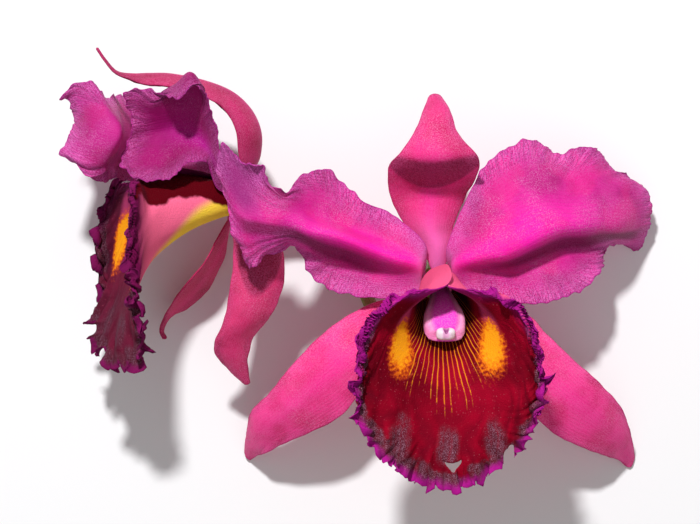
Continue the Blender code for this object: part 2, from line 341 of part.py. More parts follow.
def blade(name, net, heart, axes, angle, thickness, rows, columns, colour, lift=1.0, ruffle=(0, 0, 0)):
    """A petal or sepal: a smooth sheet through its net, with its claw on the ovary and its low end on the table."""
    placed = as_drawn(np.array(net) + np.array((heart[0], heart[1], 0.0)))
    edge, midrib = thickness
    seat = SEAT_GAP + midrib / 2
    claw = claw_rows(np.asarray(heart) + axes[2] * seat, axes, angle, placed.shape[1], lift)
    if np.linalg.norm(np.array(claw[1][0]) - placed[0][0]) > np.linalg.norm(np.array(claw[1][-1]) - placed[0][0]):
        claw = [row[::-1] for row in claw]
    net_points = np.concatenate([np.array(claw), placed])
    along = np.linspace(0, 1, rows)
    across = np.linspace(0, 1, columns)
    sheet = catmull_rom(net_points, along)
    sheet = np.swapaxes(catmull_rom(np.swapaxes(sheet, 0, 1), across), 0, 1)
    side = (2 * across - 1)[None, :]
    height, waves, phase = ruffle
    swell = height * np.abs(side) ** 2.5 * np.sin(2 * math.pi * waves * along + phase)[:, None] * along[:, None] ** 0.6
    swell = swell * np.where(side < 0, 1.0, -0.8)
    sheet = sheet + normals_of(sheet) * swell[..., None]
    depth = edge + (midrib - edge) * (1 - side**2) * (1 - 0.6 * along[:, None])
    depth = np.where(along[:, None] < 0.12, midrib, depth)
    sheet[..., 2] = pressed_on_table(sheet[..., 2], depth / 2)
    offset = normals_of(sheet) * (depth / 2)[..., None]
    top, bottom = (sheet + offset).reshape(-1, 3), (sheet - offset).reshape(-1, 3)
    for skin in (top, bottom):
        skin[:, 2] = np.maximum(skin[:, 2], 0.0)
    index = np.arange(rows * columns).reshape(rows, columns)
    triangles = []
    for i in range(rows - 1):
        for j in range(columns - 1):
            a, b, c, d = index[i, j], index[i + 1, j], index[i + 1, j + 1], index[i, j + 1]
            triangles += [(a, b, c), (a, c, d)]
    rim = [*index[:, 0], *index[-1, 1:], *index[-2::-1, -1], *index[0, -2:0:-1]]
    return add_mesh(name, *two_skins(top, bottom, triangles, [int(k) for k in rim]), colour)


def smooth_step(value):
    value = np.clip(value, 0, 1)
    return value * value * (3 - 2 * value)


def lip_row(place, sides):
    """The smooth lip at one place between seat and margin."""
    row = catmull_rom(np.array(LIP_NET), [place])[0]
    whole = np.concatenate([row[:0:-1] * (-1.0, 1.0, 1.0), row])
    return catmull_rom(whole, (np.asarray(sides) + 1) / 2)


def evenly_round(lengths):
    """Sides that lie evenly along the margin."""
    sides = np.linspace(-1, 1, 401)
    steps = np.linalg.norm(np.diff(lip_row(1.0, sides), axis=0), axis=1)
    along = np.concatenate([[0.0], np.cumsum(steps)])
    return np.interp(lengths, 2 * along / along[-1] - 1, sides)


def lip_normals(place, sides):
    """The smooth lip's own normals, inwards."""
    on = lip_row(min(place + 0.01, 1.0), sides) - lip_row(max(place - 0.01, 0.0), sides)
    round_ = lip_row(place, np.minimum(sides + 0.01, 1)) - lip_row(place, np.maximum(sides - 0.01, -1))
    normal = np.cross(on, round_)
    return normal / np.linalg.norm(normal, axis=1, keepdims=True)


def lip_points(place, lengths, scale, phase, twist):
    """Points of the lip in its bloom's frame. Lengths run from -1, its left free edge, over the keel to 1."""
    sides = evenly_round(lengths)
    points = lip_row(place, sides)
    # In the tube the two free edges overlap above the column.
    overlap = smooth_step((place - 0.04) / 0.14) * (1 - smooth_step((place - 0.4) / 0.17))
    raised = smooth_step(place / 0.06) * (1 - smooth_step((place - 0.46) / 0.2))
    points[:, 0] -= np.sign(sides) * smooth_step((np.abs(sides) - 0.84) / 0.16) * LIP_OVERLAP * overlap
    points[:, 1] += np.where(sides < 0, smooth_step((np.abs(sides) - 0.62) / 0.22), 0.0) * LIP_OVERLAP_RISE * raised
    # Broad folds and close frills grow towards the margin.
    turn = math.pi * np.asarray(lengths)
    open_edge = smooth_step((place - 0.6) / 0.4)
    corner = 0.25 * smooth_step((1 - np.abs(lengths)) / 0.06) + 0.75 * smooth_step((0.82 - np.abs(lengths)) / 0.4)
    fold = LIP_FOLD_HEIGHT * open_edge * np.sin(LIP_FOLDS * turn + phase)
    frill = LIP_FRILL_HEIGHT * open_edge**2 * np.sin(LIP_FRILLS * turn + 1.2 * np.sin(3 * turn + phase))
    points += lip_normals(place, sides) * ((fold + frill) * corner)[:, None]
    angle = np.radians(twist) * smooth_step((points[:, 1] - TWIST_FROM) / (TWIST_TO - TWIST_FROM))
    ahead = points[:, 2] - TWIST_AXIS
    right = points[:, 0].copy()
    points[:, 0] = right * np.cos(angle) + ahead * np.sin(angle)
    points[:, 2] = TWIST_AXIS + ahead * np.cos(angle) - right * np.sin(angle)
    return points * scale


def strip(first, second):
    """Triangles between two open lines of points with different counts, joined in step."""
    triangles = []
    i = j = 0
    while i < len(first) - 1 or j < len(second) - 1:
        next_i = (i + 1) / (len(first) - 1)
        next_j = (j + 1) / (len(second) - 1)
        if j == len(second) - 1 or (i < len(first) - 1 and next_i <= next_j):
            triangles.append((first[i], first[i + 1], second[j]))
            i += 1
        else:
            triangles.append((first[i], second[j + 1], second[j]))
            j += 1
    return triangles


def lip(name, heart, axes, scale, phase, twist, colour):
    """The rolled and frilled lip, one sheet from its claw to its margin."""
    middle_skin, outward, lines = [], [], []
    step = 2e-3
    for place, count in LIP_ROWS:
        lengths = np.linspace(-1, 1, count)
        on = lip_points(min(place + step, 1.0), lengths, scale, phase, twist)
        on -= lip_points(max(min(place + step, 1.0) - 2 * step, 0.0), lengths, scale, phase, twist)
        round_ = lip_points(place, np.minimum(lengths + step, 1), scale, phase, twist)
        round_ -= lip_points(place, np.maximum(lengths - step, -1), scale, phase, twist)
        normal = np.cross(on, round_)
        outward.append(normal / np.linalg.norm(normal, axis=1, keepdims=True))
        first = sum(len(points) for points in middle_skin)
        lines.append(list(range(first, first + count)))
        middle_skin.append(lip_points(place, lengths, scale, phase, twist))
    middle_skin, outward = np.concatenate(middle_skin), np.concatenate(outward)
    frame = np.array(axes)
    skins = [np.asarray(heart) + (middle_skin + side * outward * LIP_THICKNESS / 2) @ frame for side in (1, -1)]
    triangles = [t for a, b in zip(lines, lines[1:]) for t in strip(a, b)]
    rim = [*lines[0], *[line[-1] for line in lines[1:-1]], *lines[-1][::-1], *[line[0] for line in lines[-2:0:-1]]]
    return add_mesh(name, *two_skins(skins[0], skins[1], triangles, rim), colour)


def loft(name, rings, colour, roughness=0.5):
    """A closed body through rings of equal count, with its ends capped from their middles."""
    count = len(rings[0])
    points = [p for ring in rings for p in ring]
    faces = []
    for k in range(len(rings) - 1):
        for i in range(count):
            a, b = k * count + i, k * count + (i + 1) % count
            faces += [(a, b, b + count), (a, b + count, a + count)]
    for ring, first, turn in ((rings[0], 0, False), (rings[-1], (len(rings) - 1) * count, True)):
        middle = len(points)
        points.append(np.mean(ring, axis=0))
        for i in range(count):
            a, b = first + i, first + (i + 1) % count
            faces.append((a, b, middle) if turn else (b, a, middle))
    if signed_volume(points, faces) < 0:
        faces = [f[::-1] for f in faces]
    return add_mesh(name, points, faces, colour, roughness)


def column(name, heart, axes, colour):
    """The column: round above, flatter below, with two wings beside its tip."""
    rings = []
    for ahead, up, half_width, half_height in COLUMN_STATIONS:
        turn = np.linspace(0, 2 * math.pi, 16, endpoint=False)
        below = np.where(np.sin(turn) < 0, 0.75, 1.0)
        ring = [
            in_bloom(heart, axes, half_width * math.cos(t), up + half_height * math.sin(t) * b, SEAT_GAP + ahead)
            for t, b in zip(turn, below)
        ]
        rings.append(ring)
    return loft(name, rings, colour)


def anther_cap(name, heart, axes, colour):
    """The small cap over the pollen at the column's tip."""
    up, ahead = CAP_MIDDLE
    half_width, half_height, half_depth = CAP_SIZE
    rings = []
    for tilt in np.radians(np.linspace(-90 + 20, 70, 5)):
        ring = []
        for turn in np.linspace(0, 2 * math.pi, 12, endpoint=False):
            size = math.cos(tilt)
            ring.append(
                in_bloom(
                    heart,
                    axes,
                    half_width * size * math.cos(turn),
                    up + half_height * size * math.sin(turn),
                    ahead + half_depth * math.sin(tilt),
                )
            )
        rings.append(ring)
    return loft(name, rings, colour)


def swept_rings(route, radii, sides, start_up=(0.0, 0.0, 1.0), ribs=0, rib_depth=0.0):
    """Rings square to a route, carried along it without twist."""
    route = np.asarray(route, float)
    ahead = np.gradient(route, axis=0)
    ahead /= np.linalg.norm(ahead, axis=1, keepdims=True)
    up = np.asarray(start_up, float)
    rings = []
    for point, tangent, radius in zip(route, ahead, radii):
        up = up - tangent * np.dot(up, tangent)
        up = up / np.linalg.norm(up)
        side = np.cross(tangent, up)
        ring = []
        for turn in np.linspace(0, 2 * math.pi, sides, endpoint=False):
            r = radius * (1 + rib_depth * math.cos(ribs * turn))
            ring.append(point + r * (math.cos(turn) * side + math.sin(turn) * up))
        rings.append(np.array(ring))
    return rings


def ovary(name, route, heart, axes, colour):
    """The stalk of one bloom with the ovary at its end, which widens to the flat that carries the bloom."""
    forward = axes[2]
    placed = list(route)
    placed += [np.asarray(heart) - forward * 5.0, np.asarray(heart) - forward * 0.9]
    stations = 14
    smooth = catmull_rom(placed, np.linspace(0, 1, stations))
    radii = catmull_rom(np.array(OVARY_RADII)[:, None], np.linspace(0, 1, stations))[:, 0]
    rings = swept_rings(smooth, radii, OVARY_SIDES, ribs=3, rib_depth=0.05)
    seat_ring = []
    right, up = axes[0], axes[1]
    for point in rings[-1]:
        spoke = point - smooth[-1]
        spoke -= forward * np.dot(spoke, forward)
        seat_ring.append(spoke / np.linalg.norm(spoke))
    rings[-1] = np.array([np.asarray(heart) - forward * 1.6 + s * 5.2 for s in seat_ring])
    rings.append(np.array([np.asarray(heart) - forward * 0.8 + s * SEAT_RADIUS for s in seat_ring]))
    rings.append(np.array([np.asarray(heart) + s * (SEAT_RADIUS - 0.2) for s in seat_ring]))
    return loft(name, rings, colour)


def from_place(place, points):
    """Points that count from a place on the table, in the spray's frame."""
    return [np.array((place[0] + x, place[1] + y, z)) for x, y, z in points]


def flower_stem(name, route, colour):
    """The cut flower stem, with a flat under it where it lies and a swollen joint where the two stalks leave."""
    stations = 12
    smooth = catmull_rom(route, np.linspace(0, 1, stations))
    swell = smooth_step((np.linspace(0, 1, stations) - 0.7) / 0.2)
    radii = STEM_RADIUS + (JOINT_RADIUS - STEM_RADIUS) * swell
    rings = swept_rings(smooth, radii, 14)
    for ring in rings:
        ring[:, 2] = np.maximum(ring[:, 2], 0.0)
    return loft(name, rings, colour)


def clear_scene():
    for obj in list(bpy.data.objects):
        bpy.data.objects.remove(obj, do_unlink=True)


def main():
    clear_scene()
    magenta, crimson, rose, pale, green = (
        (0.72, 0.02, 0.32),
        (0.25, 0.0, 0.03),
        (0.70, 0.04, 0.22),
        (0.85, 0.25, 0.6),
        (0.35, 0.12, 0.12),
    )
    front = front_axes()
    side = side_axes()
    sepals = (
        ("front_dorsal_sepal", FRONT_DORSAL_NET, FRONT_HEART, front, DORSAL),
        ("front_right_sepal", FRONT_RIGHT_SEPAL_NET, FRONT_HEART, front, RIGHT_SEPAL),
        ("front_left_sepal", FRONT_LEFT_SEPAL_NET, FRONT_HEART, front, LEFT_SEPAL),
        ("side_dorsal_sepal", SIDE_DORSAL_NET, SIDE_HEART, side, DORSAL),
        ("side_near_sepal", SIDE_NEAR_SEPAL_NET, SIDE_HEART, side, RIGHT_SEPAL),
        ("side_far_sepal", SIDE_FAR_SEPAL_NET, SIDE_HEART, side, LEFT_SEPAL),
    )
    for name, net, heart, axes, angle in sepals:
        blade(name, net, heart, axes, angle, SEPAL_THICKNESS, 22, 8, rose, lift=0.2)
    petals = (
        ("front_right_petal", FRONT_RIGHT_PETAL_NET, FRONT_HEART, front, RIGHT_PETAL, (1.2, 5.0, 0.5)),
        ("front_left_petal", FRONT_LEFT_PETAL_NET, FRONT_HEART, front, LEFT_PETAL, (0.9, 5.0, 1.0)),
        ("side_near_petal", SIDE_NEAR_PETAL_NET, SIDE_HEART, side, RIGHT_PETAL, (0.7, 5.0, 0.0)),
        ("side_far_petal", SIDE_FAR_PETAL_NET, SIDE_HEART, side, LEFT_PETAL, (0.7, 5.0, 2.0)),
    )
    for name, net, heart, axes, angle, ruffle in petals:
        blade(name, net, heart, axes, angle, PETAL_THICKNESS, 30, 13, magenta, lift=1.2, ruffle=ruffle)
    stem_route = from_place(FRONT_HEART, STEM_ROUTE)
    front_route = from_place(FRONT_HEART, FRONT_OVARY_ROUTE)
    side_route = from_place(stem_route[-1], SIDE_OVARY_START) + from_place(SIDE_HEART, SIDE_OVARY_ROUTE)
    for bloom, heart, axes, scale, phase, twist, route in (
        ("front", FRONT_HEART, front, FRONT_LIP_SCALE, 0.6, 0.0, front_route),
        ("side", SIDE_HEART, side, SIDE_LIP_SCALE, 2.1, SIDE_LIP_TWIST, side_route),
    ):
        lip(bloom + "_lip", heart, axes, scale, phase, twist, crimson)
        column(bloom + "_column", heart, axes, pale)
        anther_cap(bloom + "_anther_cap", heart, axes, pale)
        ovary(bloom + "_ovary", route, heart, axes, green)
    flower_stem("flower_stem", stem_route, green)


main()
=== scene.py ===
# A cut spray of two cattleya blooms on a pale table. The front bloom faces up and the side bloom faces left.
# Every petal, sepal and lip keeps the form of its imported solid, and gains frills, creases and colour here.
import math

import bmesh
import bpy
import numpy as np
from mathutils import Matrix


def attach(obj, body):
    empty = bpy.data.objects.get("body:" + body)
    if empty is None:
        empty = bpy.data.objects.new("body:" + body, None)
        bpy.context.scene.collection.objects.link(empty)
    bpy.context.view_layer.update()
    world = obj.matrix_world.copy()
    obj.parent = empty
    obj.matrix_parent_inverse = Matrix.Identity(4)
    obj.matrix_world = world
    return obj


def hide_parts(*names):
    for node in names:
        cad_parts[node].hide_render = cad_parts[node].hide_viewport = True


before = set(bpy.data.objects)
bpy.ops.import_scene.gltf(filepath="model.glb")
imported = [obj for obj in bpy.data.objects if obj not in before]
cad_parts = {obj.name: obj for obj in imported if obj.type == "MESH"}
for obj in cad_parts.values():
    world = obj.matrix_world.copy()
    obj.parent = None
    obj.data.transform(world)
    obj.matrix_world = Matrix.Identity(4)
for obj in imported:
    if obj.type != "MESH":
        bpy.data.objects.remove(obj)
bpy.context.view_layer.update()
print("frame loaded:", len(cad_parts), "nodes")

# Sizes are in millimetres until a mesh is finished. X is right and Y up as the camera sees the table.
spray = {
    "frontHeart": (25.53, -5.8, 34.0),  # where the lip and column of each bloom start
    "sideHeart": (-41.17, 23.2, 32.0),
    "frontPitch": 20.0,  # degrees that the front bloom's face leans away from straight up
    "frontLean": 4.5,
    "sidePitch": 10.0,
    "sideTurn": 15.0,
    "eye": (-3.47, 1.5, 1040.0),  # the nets below are drawn as an eye here sees them
    "drawnAt": 40.0,
    "seatGap": 0.35,
    "clawStart": 3.9,
    "clawEnd": 6.4,
    "clawHalfAngle": 20.0,
    "tableEase": 1.2,
}

# Nets of the blades. Each row crosses the blade, and the rows run from the claw to the tip.
frontDorsalNet = (
    ((-4.7, 11.3, 37.5), (-2.6, 12.0, 39.5), (0.0, 12.3, 40.5), (2.6, 12.6, 39.5), (4.7, 13.0, 37.5)),
    ((-9.7, 18.0, 38.0), (-5.8, 18.2, 40.5), (-2.0, 18.3, 41.5), (1.6, 18.5, 40.5), (5.2, 18.7, 38.0)),
    ((-13.0, 23.7, 39.5), (-7.8, 23.9, 41.0), (-2.6, 24.0, 41.7), (2.3, 24.1, 41.0), (7.2, 24.3, 38.5)),
    ((-15.4, 29.3, 42.5), (-8.9, 29.0, 42.0), (-2.4, 29.0, 42.0), (4.0, 29.5, 42.0), (10.2, 30.3, 40.5)),
    ((-16.3, 35.2, 48.0), (-8.9, 34.2, 46.0), (-1.5, 33.7, 45.0), (6.0, 34.5, 46.0), (13.0, 35.9, 47.5)),
    ((-15.3, 40.5, 53.5), (-8.0, 39.0, 54.5), (-0.7, 38.5, 54.5), (6.7, 39.5, 54.5), (14.0, 40.8, 53.5)),
    ((-11.7, 44.2, 56.0), (-6.0, 43.3, 58.5), (-0.3, 43.0, 59.0), (5.7, 43.7, 58.5), (11.7, 44.8, 56.0)),
    ((-7.2, 51.2, 54.0), (-3.8, 51.0, 56.5), (-0.3, 51.0, 57.0), (3.0, 51.0, 56.5), (6.5, 51.0, 54.0)),
    ((-4.5, 57.8, 49.5), (-2.3, 58.0, 51.5), (-0.3, 58.0, 52.0), (1.9, 58.0, 51.5), (4.3, 57.8, 49.5)),
    ((-3.0, 61.9, 44.5), (-2.0, 62.7, 45.0), (-0.8, 63.0, 45.2), (0.3, 62.7, 45.0), (1.4, 61.9, 44.5)),
)
frontRightPetalNet = (
    ((3.6, 13.2, 42.0), (4.8, 10.8, 43.0), (5.6, 8.6, 43.0), (6.1, 6.2, 43.0),
     (6.4, 3.2, 41.0), (6.4, 0.2, 39.3), (6.8, -3.6, 38.6)),
    ((9.9, 28.3, 44.5), (11.9, 20.7, 44.0), (14.0, 13.7, 45.0), (16.0, 8.7, 46.5),
     (17.5, 5.3, 40.0), (19.5, 0.6, 38.5), (21.4, -4.6, 39.2)),
    ((15.2, 38.5, 42.5), (17.0, 29.7, 43.5), (20.0, 20.3, 45.5), (23.3, 10.3, 48.0),
     (25.0, 6.0, 38.0), (27.3, -0.3, 37.5), (29.7, -6.7, 39.5)),
    ((22.5, 44.8, 39.0), (24.7, 35.7, 40.5), (27.7, 25.7, 43.5), (31.7, 14.3, 47.0),
     (33.3, 9.0, 36.0), (36.0, 1.7, 36.5), (38.3, -5.8, 38.5)),
    ((31.7, 47.7, 35.0), (33.8, 38.0, 37.0), (36.5, 28.0, 40.5), (40.3, 18.3, 44.0),
     (42.7, 12.0, 33.0), (45.7, 4.3, 33.0), (47.7, -2.0, 35.0)),
    ((41.0, 43.8, 31.0), (43.0, 35.7, 33.5), (45.7, 27.3, 36.5), (48.7, 18.9, 39.5),
     (49.7, 12.7, 29.0), (52.0, 7.3, 28.5), (54.2, 3.5, 29.5)),
    ((48.0, 45.3, 27.5), (50.7, 37.3, 29.5), (53.0, 28.5, 32.0), (54.8, 19.6, 34.0),
     (55.2, 14.3, 26.0), (55.7, 11.7, 23.0), (56.0, 9.3, 22.0)),
    ((55.0, 44.3, 24.0), (57.7, 35.0, 25.0), (60.0, 26.5, 26.5), (61.0, 19.0, 27.0),
     (59.8, 15.3, 21.0), (58.3, 14.3, 16.5), (56.8, 14.3, 13.0)),
    ((59.7, 36.5, 18.5), (63.7, 34.0, 18.5), (66.2, 27.0, 18.5), (66.3, 20.0, 17.5),
     (64.7, 15.3, 13.0), (62.7, 13.3, 9.0), (60.5, 13.0, 6.0)),
    ((65.0, 35.3, 12.5), (68.5, 32.3, 12.0), (71.0, 28.0, 11.0), (71.0, 21.5, 9.0),
     (69.5, 15.7, 5.0), (68.0, 12.3, 0.5), (65.3, 11.7, -1.0)),
)
frontLeftPetalNet = (
    ((-3.6, 12.5, 42.0), (-4.6, 10.4, 43.0), (-5.4, 8.2, 43.0), (-5.9, 5.8, 43.0),
     (-6.2, 3.0, 41.0), (-6.3, 0.0, 39.3), (-6.6, -3.8, 38.6)),
    ((-10.7, 19.9, 42.0), (-11.7, 16.0, 42.5), (-12.7, 12.3, 42.5), (-13.8, 8.3, 46.5),
     (-15.2, 3.7, 40.0), (-16.9, -0.9, 38.5), (-18.7, -4.7, 39.2)),
    ((-17.7, 24.7, 40.5), (-18.7, 19.7, 41.0), (-20.0, 15.0, 41.5), (-21.0, 11.0, 48.0),
     (-23.0, 5.0, 38.0), (-25.0, 0.3, 37.5), (-27.0, -4.1, 39.5)),
    ((-24.3, 27.2, 40.5), (-26.0, 22.3, 40.5), (-27.8, 17.8, 41.5), (-29.2, 14.2, 50.0),
     (-31.0, 8.0, 38.5), (-33.0, 3.0, 37.5), (-35.0, -2.0, 39.0)),
    ((-30.7, 33.2, 42.0), (-32.3, 27.0, 41.5), (-34.3, 20.7, 42.5), (-35.8, 16.3, 51.5),
     (-37.7, 9.8, 41.0), (-39.7, 5.3, 38.5), (-41.5, 2.7, 38.5)),
    ((-36.7, 38.1, 45.0), (-38.7, 30.7, 44.0), (-40.7, 23.3, 45.0), (-42.0, 17.8, 53.0),
     (-43.2, 13.3, 46.0), (-43.8, 10.3, 42.0), (-44.0, 7.3, 39.5)),
    ((-44.3, 36.8, 48.0), (-45.7, 31.3, 47.5), (-46.8, 25.9, 49.0), (-47.8, 20.7, 54.5),
     (-48.7, 15.7, 51.5), (-49.0, 14.0, 48.5), (-48.8, 12.7, 45.5)),
    ((-50.3, 30.3, 51.0), (-51.3, 28.3, 52.5), (-52.3, 25.8, 55.0), (-53.3, 21.7, 56.0),
     (-54.0, 16.3, 54.5), (-54.0, 12.7, 51.5), (-53.5, 11.0, 48.5)),
    ((-56.0, 33.7, 57.0), (-57.0, 31.3, 57.0), (-58.3, 28.3, 57.0), (-59.5, 23.0, 56.5),
     (-59.8, 17.0, 55.5), (-59.0, 11.7, 53.5), (-57.8, 8.2, 50.5)),
    ((-57.5, 38.3, 60.0), (-61.7, 35.3, 57.5), (-65.0, 34.0, 57.5), (-66.0, 25.7, 56.5),
     (-65.0, 18.3, 56.0), (-63.2, 12.0, 54.0), (-60.7, 6.3, 50.5)),
    ((-60.3, 39.7, 61.0), (-65.7, 41.3, 60.0), (-71.0, 46.5, 61.5), (-73.5, 38.7, 57.0),
     (-69.7, 26.0, 54.5), (-68.0, 16.3, 54.5), (-62.5, 5.0, 50.0)),
)
frontRightSepalNet = (
    ((8.5, -3.5, 32.0), (10.0, -6.5, 33.0), (10.5, -9.0, 33.5), (9.7, -12.0, 33.0), (8.0, -14.0, 31.5)),
    ((21.0, -7.0, 33.0), (20.8, -12.0, 34.5), (20.0, -17.0, 35.0), (18.5, -22.5, 34.0), (16.3, -28.7, 32.0)),
    ((30.7, -10.8, 34.0), (29.9, -16.7, 35.5), (28.7, -22.7, 36.0), (27.1, -29.7, 34.5), (25.3, -37.0, 31.5)),
    ((38.2, -18.5, 33.0), (37.5, -24.3, 35.0), (36.5, -30.3, 35.0), (35.0, -37.3, 33.0), (33.3, -44.8, 29.5)),
    ((46.8, -26.6, 30.0), (45.8, -32.0, 32.0), (44.5, -37.7, 32.0), (42.8, -44.2, 29.5), (41.0, -51.0, 26.0)),
    ((55.0, -34.0, 25.0), (53.7, -38.6, 26.5), (52.3, -43.3, 26.5), (51.0, -49.0, 24.0), (49.7, -55.0, 20.5)),
    ((61.5, -41.7, 17.5), (60.2, -45.3, 18.5), (58.9, -49.0, 18.5), (57.5, -53.0, 16.5), (56.2, -57.2, 13.5)),
    ((64.8, -51.3, 7.5), (64.1, -52.8, 8.0), (63.3, -54.3, 8.0), (62.2, -56.5, 6.5), (60.8, -58.8, 4.5)),
    ((65.7, -57.7, -1.0), (65.3, -59.3, -1.0), (64.8, -60.5, -1.0), (64.1, -61.0, -1.0), (63.2, -60.9, -1.0)),
)
frontLeftSepalNet = (
    ((-8.5, -3.5, 32.0), (-10.0, -6.5, 33.0), (-10.5, -9.0, 33.5), (-9.7, -12.0, 33.0), (-8.0, -14.0, 31.5)),
    ((-20.0, -6.0, 33.0), (-20.0, -11.5, 34.5), (-19.7, -17.0, 35.0),
     (-18.7, -22.0, 34.0), (-17.0, -27.0, 32.0)),
    ((-30.7, -11.3, 34.0), (-29.7, -17.3, 35.5), (-28.5, -23.7, 36.0),
     (-26.8, -29.7, 34.5), (-25.0, -35.5, 31.5)),
    ((-39.7, -18.2, 33.0), (-38.3, -24.3, 35.0), (-36.7, -30.5, 35.0),
     (-34.6, -37.3, 33.0), (-32.3, -44.0, 29.5)),
    ((-49.0, -28.0, 30.0), (-47.5, -33.0, 32.0), (-46.0, -38.3, 32.0),
     (-44.5, -44.0, 29.5), (-42.8, -49.7, 26.0)),
    ((-55.9, -36.5, 25.0), (-54.7, -40.5, 26.5), (-53.5, -44.7, 26.5),
     (-52.5, -49.0, 24.0), (-51.3, -53.3, 20.5)),
    ((-61.7, -42.3, 17.5), (-60.8, -45.5, 18.5), (-59.9, -49.0, 18.5),
     (-58.6, -52.7, 16.5), (-57.2, -56.3, 13.5)),
    ((-63.5, -50.7, 7.5), (-63.0, -52.3, 8.0), (-62.5, -54.0, 8.0), (-61.7, -56.0, 6.5), (-60.5, -57.5, 4.5)),
    ((-63.8, -55.5, -1.0), (-63.5, -56.7, -1.0), (-63.2, -57.7, -1.0),
     (-62.7, -58.3, -1.0), (-62.0, -58.5, -1.0)),
)
sideDorsalNet = (
    ((1.3, 10.0, 26.0), (4.7, 10.3, 29.0), (5.7, 10.5, 33.0), (4.5, 10.3, 37.0), (1.0, 10.0, 41.0)),
    ((0.8, 15.7, 23.0), (6.0, 16.5, 28.0), (7.7, 16.8, 33.0), (5.8, 16.7, 38.0), (0.4, 16.3, 43.0)),
    ((0.2, 21.3, 21.0), (5.0, 22.5, 27.0), (7.2, 23.1, 33.0), (4.8, 22.7, 39.0), (-0.3, 22.0, 44.0)),
    ((-2.2, 26.7, 21.0), (2.0, 28.5, 27.0), (4.0, 29.4, 33.0), (1.7, 28.7, 39.0), (-2.7, 27.3, 44.5)),
    ((-7.0, 31.3, 22.0), (-3.7, 33.5, 28.0), (-2.0, 34.8, 34.0), (-4.0, 33.7, 39.0), (-7.5, 31.8, 44.0)),
    ((-14.3, 34.8, 24.0), (-12.0, 37.0, 29.0), (-11.0, 38.4, 34.0), (-12.3, 37.3, 38.5), (-14.8, 35.2, 43.0)),
    ((-23.0, 36.7, 27.0), (-22.0, 39.0, 31.0), (-21.7, 40.6, 34.5), (-22.3, 39.3, 38.0), (-23.3, 37.0, 42.0)),
    ((-30.0, 37.3, 30.0), (-29.5, 39.3, 33.0), (-29.3, 40.8, 35.5), (-29.7, 39.5, 38.5), (-30.2, 37.5, 41.5)),
    ((-35.3, 38.9, 33.0), (-35.0, 39.9, 35.0), (-34.9, 40.7, 37.0), (-35.1, 40.1, 39.0), (-35.5, 39.1, 41.0)),
    ((-40.4, 41.1, 35.0), (-40.2, 41.4, 36.5), (-40.1, 41.6, 38.0), (-40.2, 41.5, 39.5), (-40.4, 41.3, 41.0)),
    ((-44.1, 45.3, 37.0), (-44.0, 45.4, 38.3), (-43.9, 45.5, 39.5), (-43.9, 45.6, 40.7), (-44.0, 45.5, 42.0)),
    ((-46.8, 49.2, 39.0), (-46.7, 49.3, 39.9), (-46.6, 49.4, 40.8), (-46.6, 49.5, 41.7), (-46.7, 49.4, 42.6)),
)
sideNearPetalNet = (
    ((-2.5, 9.7, 43.0), (-3.3, 8.7, 43.3), (-4.1, 7.7, 43.3), (-4.9, 6.7, 43.0),
     (-5.6, 5.5, 42.7), (-6.2, 4.3, 42.3), (-6.7, 3.0, 42.0)),
    ((-5.8, 15.7, 46.0), (-6.7, 14.7, 45.0), (-7.4, 13.8, 44.3), (-8.0, 13.0, 44.0),
     (-8.5, 12.2, 44.0), (-8.9, 11.3, 44.3), (-9.3, 10.5, 45.0)),
    ((-7.0, 22.7, 49.0), (-8.3, 20.8, 46.0), (-9.5, 19.0, 44.0), (-10.6, 17.3, 43.0),
     (-11.4, 15.4, 43.8), (-12.0, 13.5, 46.0), (-12.4, 11.7, 48.5)),
    ((-8.5, 29.7, 52.0), (-10.7, 26.7, 47.0), (-12.5, 23.5, 43.0), (-14.0, 20.5, 40.5),
     (-14.9, 17.3, 42.0), (-15.4, 14.2, 45.5), (-15.7, 11.3, 49.5)),
    ((-12.8, 36.8, 59.5), (-11.4, 34.6, 53.5), (-15.0, 27.4, 44.0), (-17.2, 22.0, 38.5),
     (-18.0, 17.8, 40.3), (-18.3, 13.7, 44.5), (-18.6, 9.3, 50.0)),
    ((-18.6, 33.6, 60.0), (-15.6, 41.6, 58.0), (-18.6, 30.6, 45.0), (-20.9, 23.3, 37.5),
     (-21.7, 17.3, 39.5), (-22.1, 11.7, 44.3), (-22.3, 6.7, 50.5)),
    ((-22.8, 33.4, 54.0), (-21.6, 36.0, 51.0), (-23.7, 29.4, 43.0), (-25.5, 22.7, 37.0),
     (-26.3, 16.5, 38.7), (-26.6, 10.7, 43.5), (-26.5, 5.3, 50.0)),
    ((-26.3, 34.7, 47.5), (-28.0, 31.3, 44.5), (-29.7, 27.3, 41.0), (-31.0, 21.7, 37.0),
     (-31.7, 15.7, 38.5), (-31.8, 10.5, 42.5), (-31.5, 5.7, 48.5)),
    ((-32.3, 36.3, 45.5), (-33.0, 32.0, 43.0), (-33.3, 27.3, 40.0), (-33.7, 21.7, 38.0),
     (-36.3, 15.7, 38.5), (-36.2, 11.0, 42.0), (-35.3, 7.0, 46.5)),
    ((-37.8, 34.7, 44.0), (-36.5, 31.0, 41.5), (-35.2, 26.5, 39.3), (-35.2, 21.0, 38.3),
     (-37.0, 16.3, 39.0), (-38.8, 12.8, 41.5), (-38.0, 10.0, 44.5)),
)
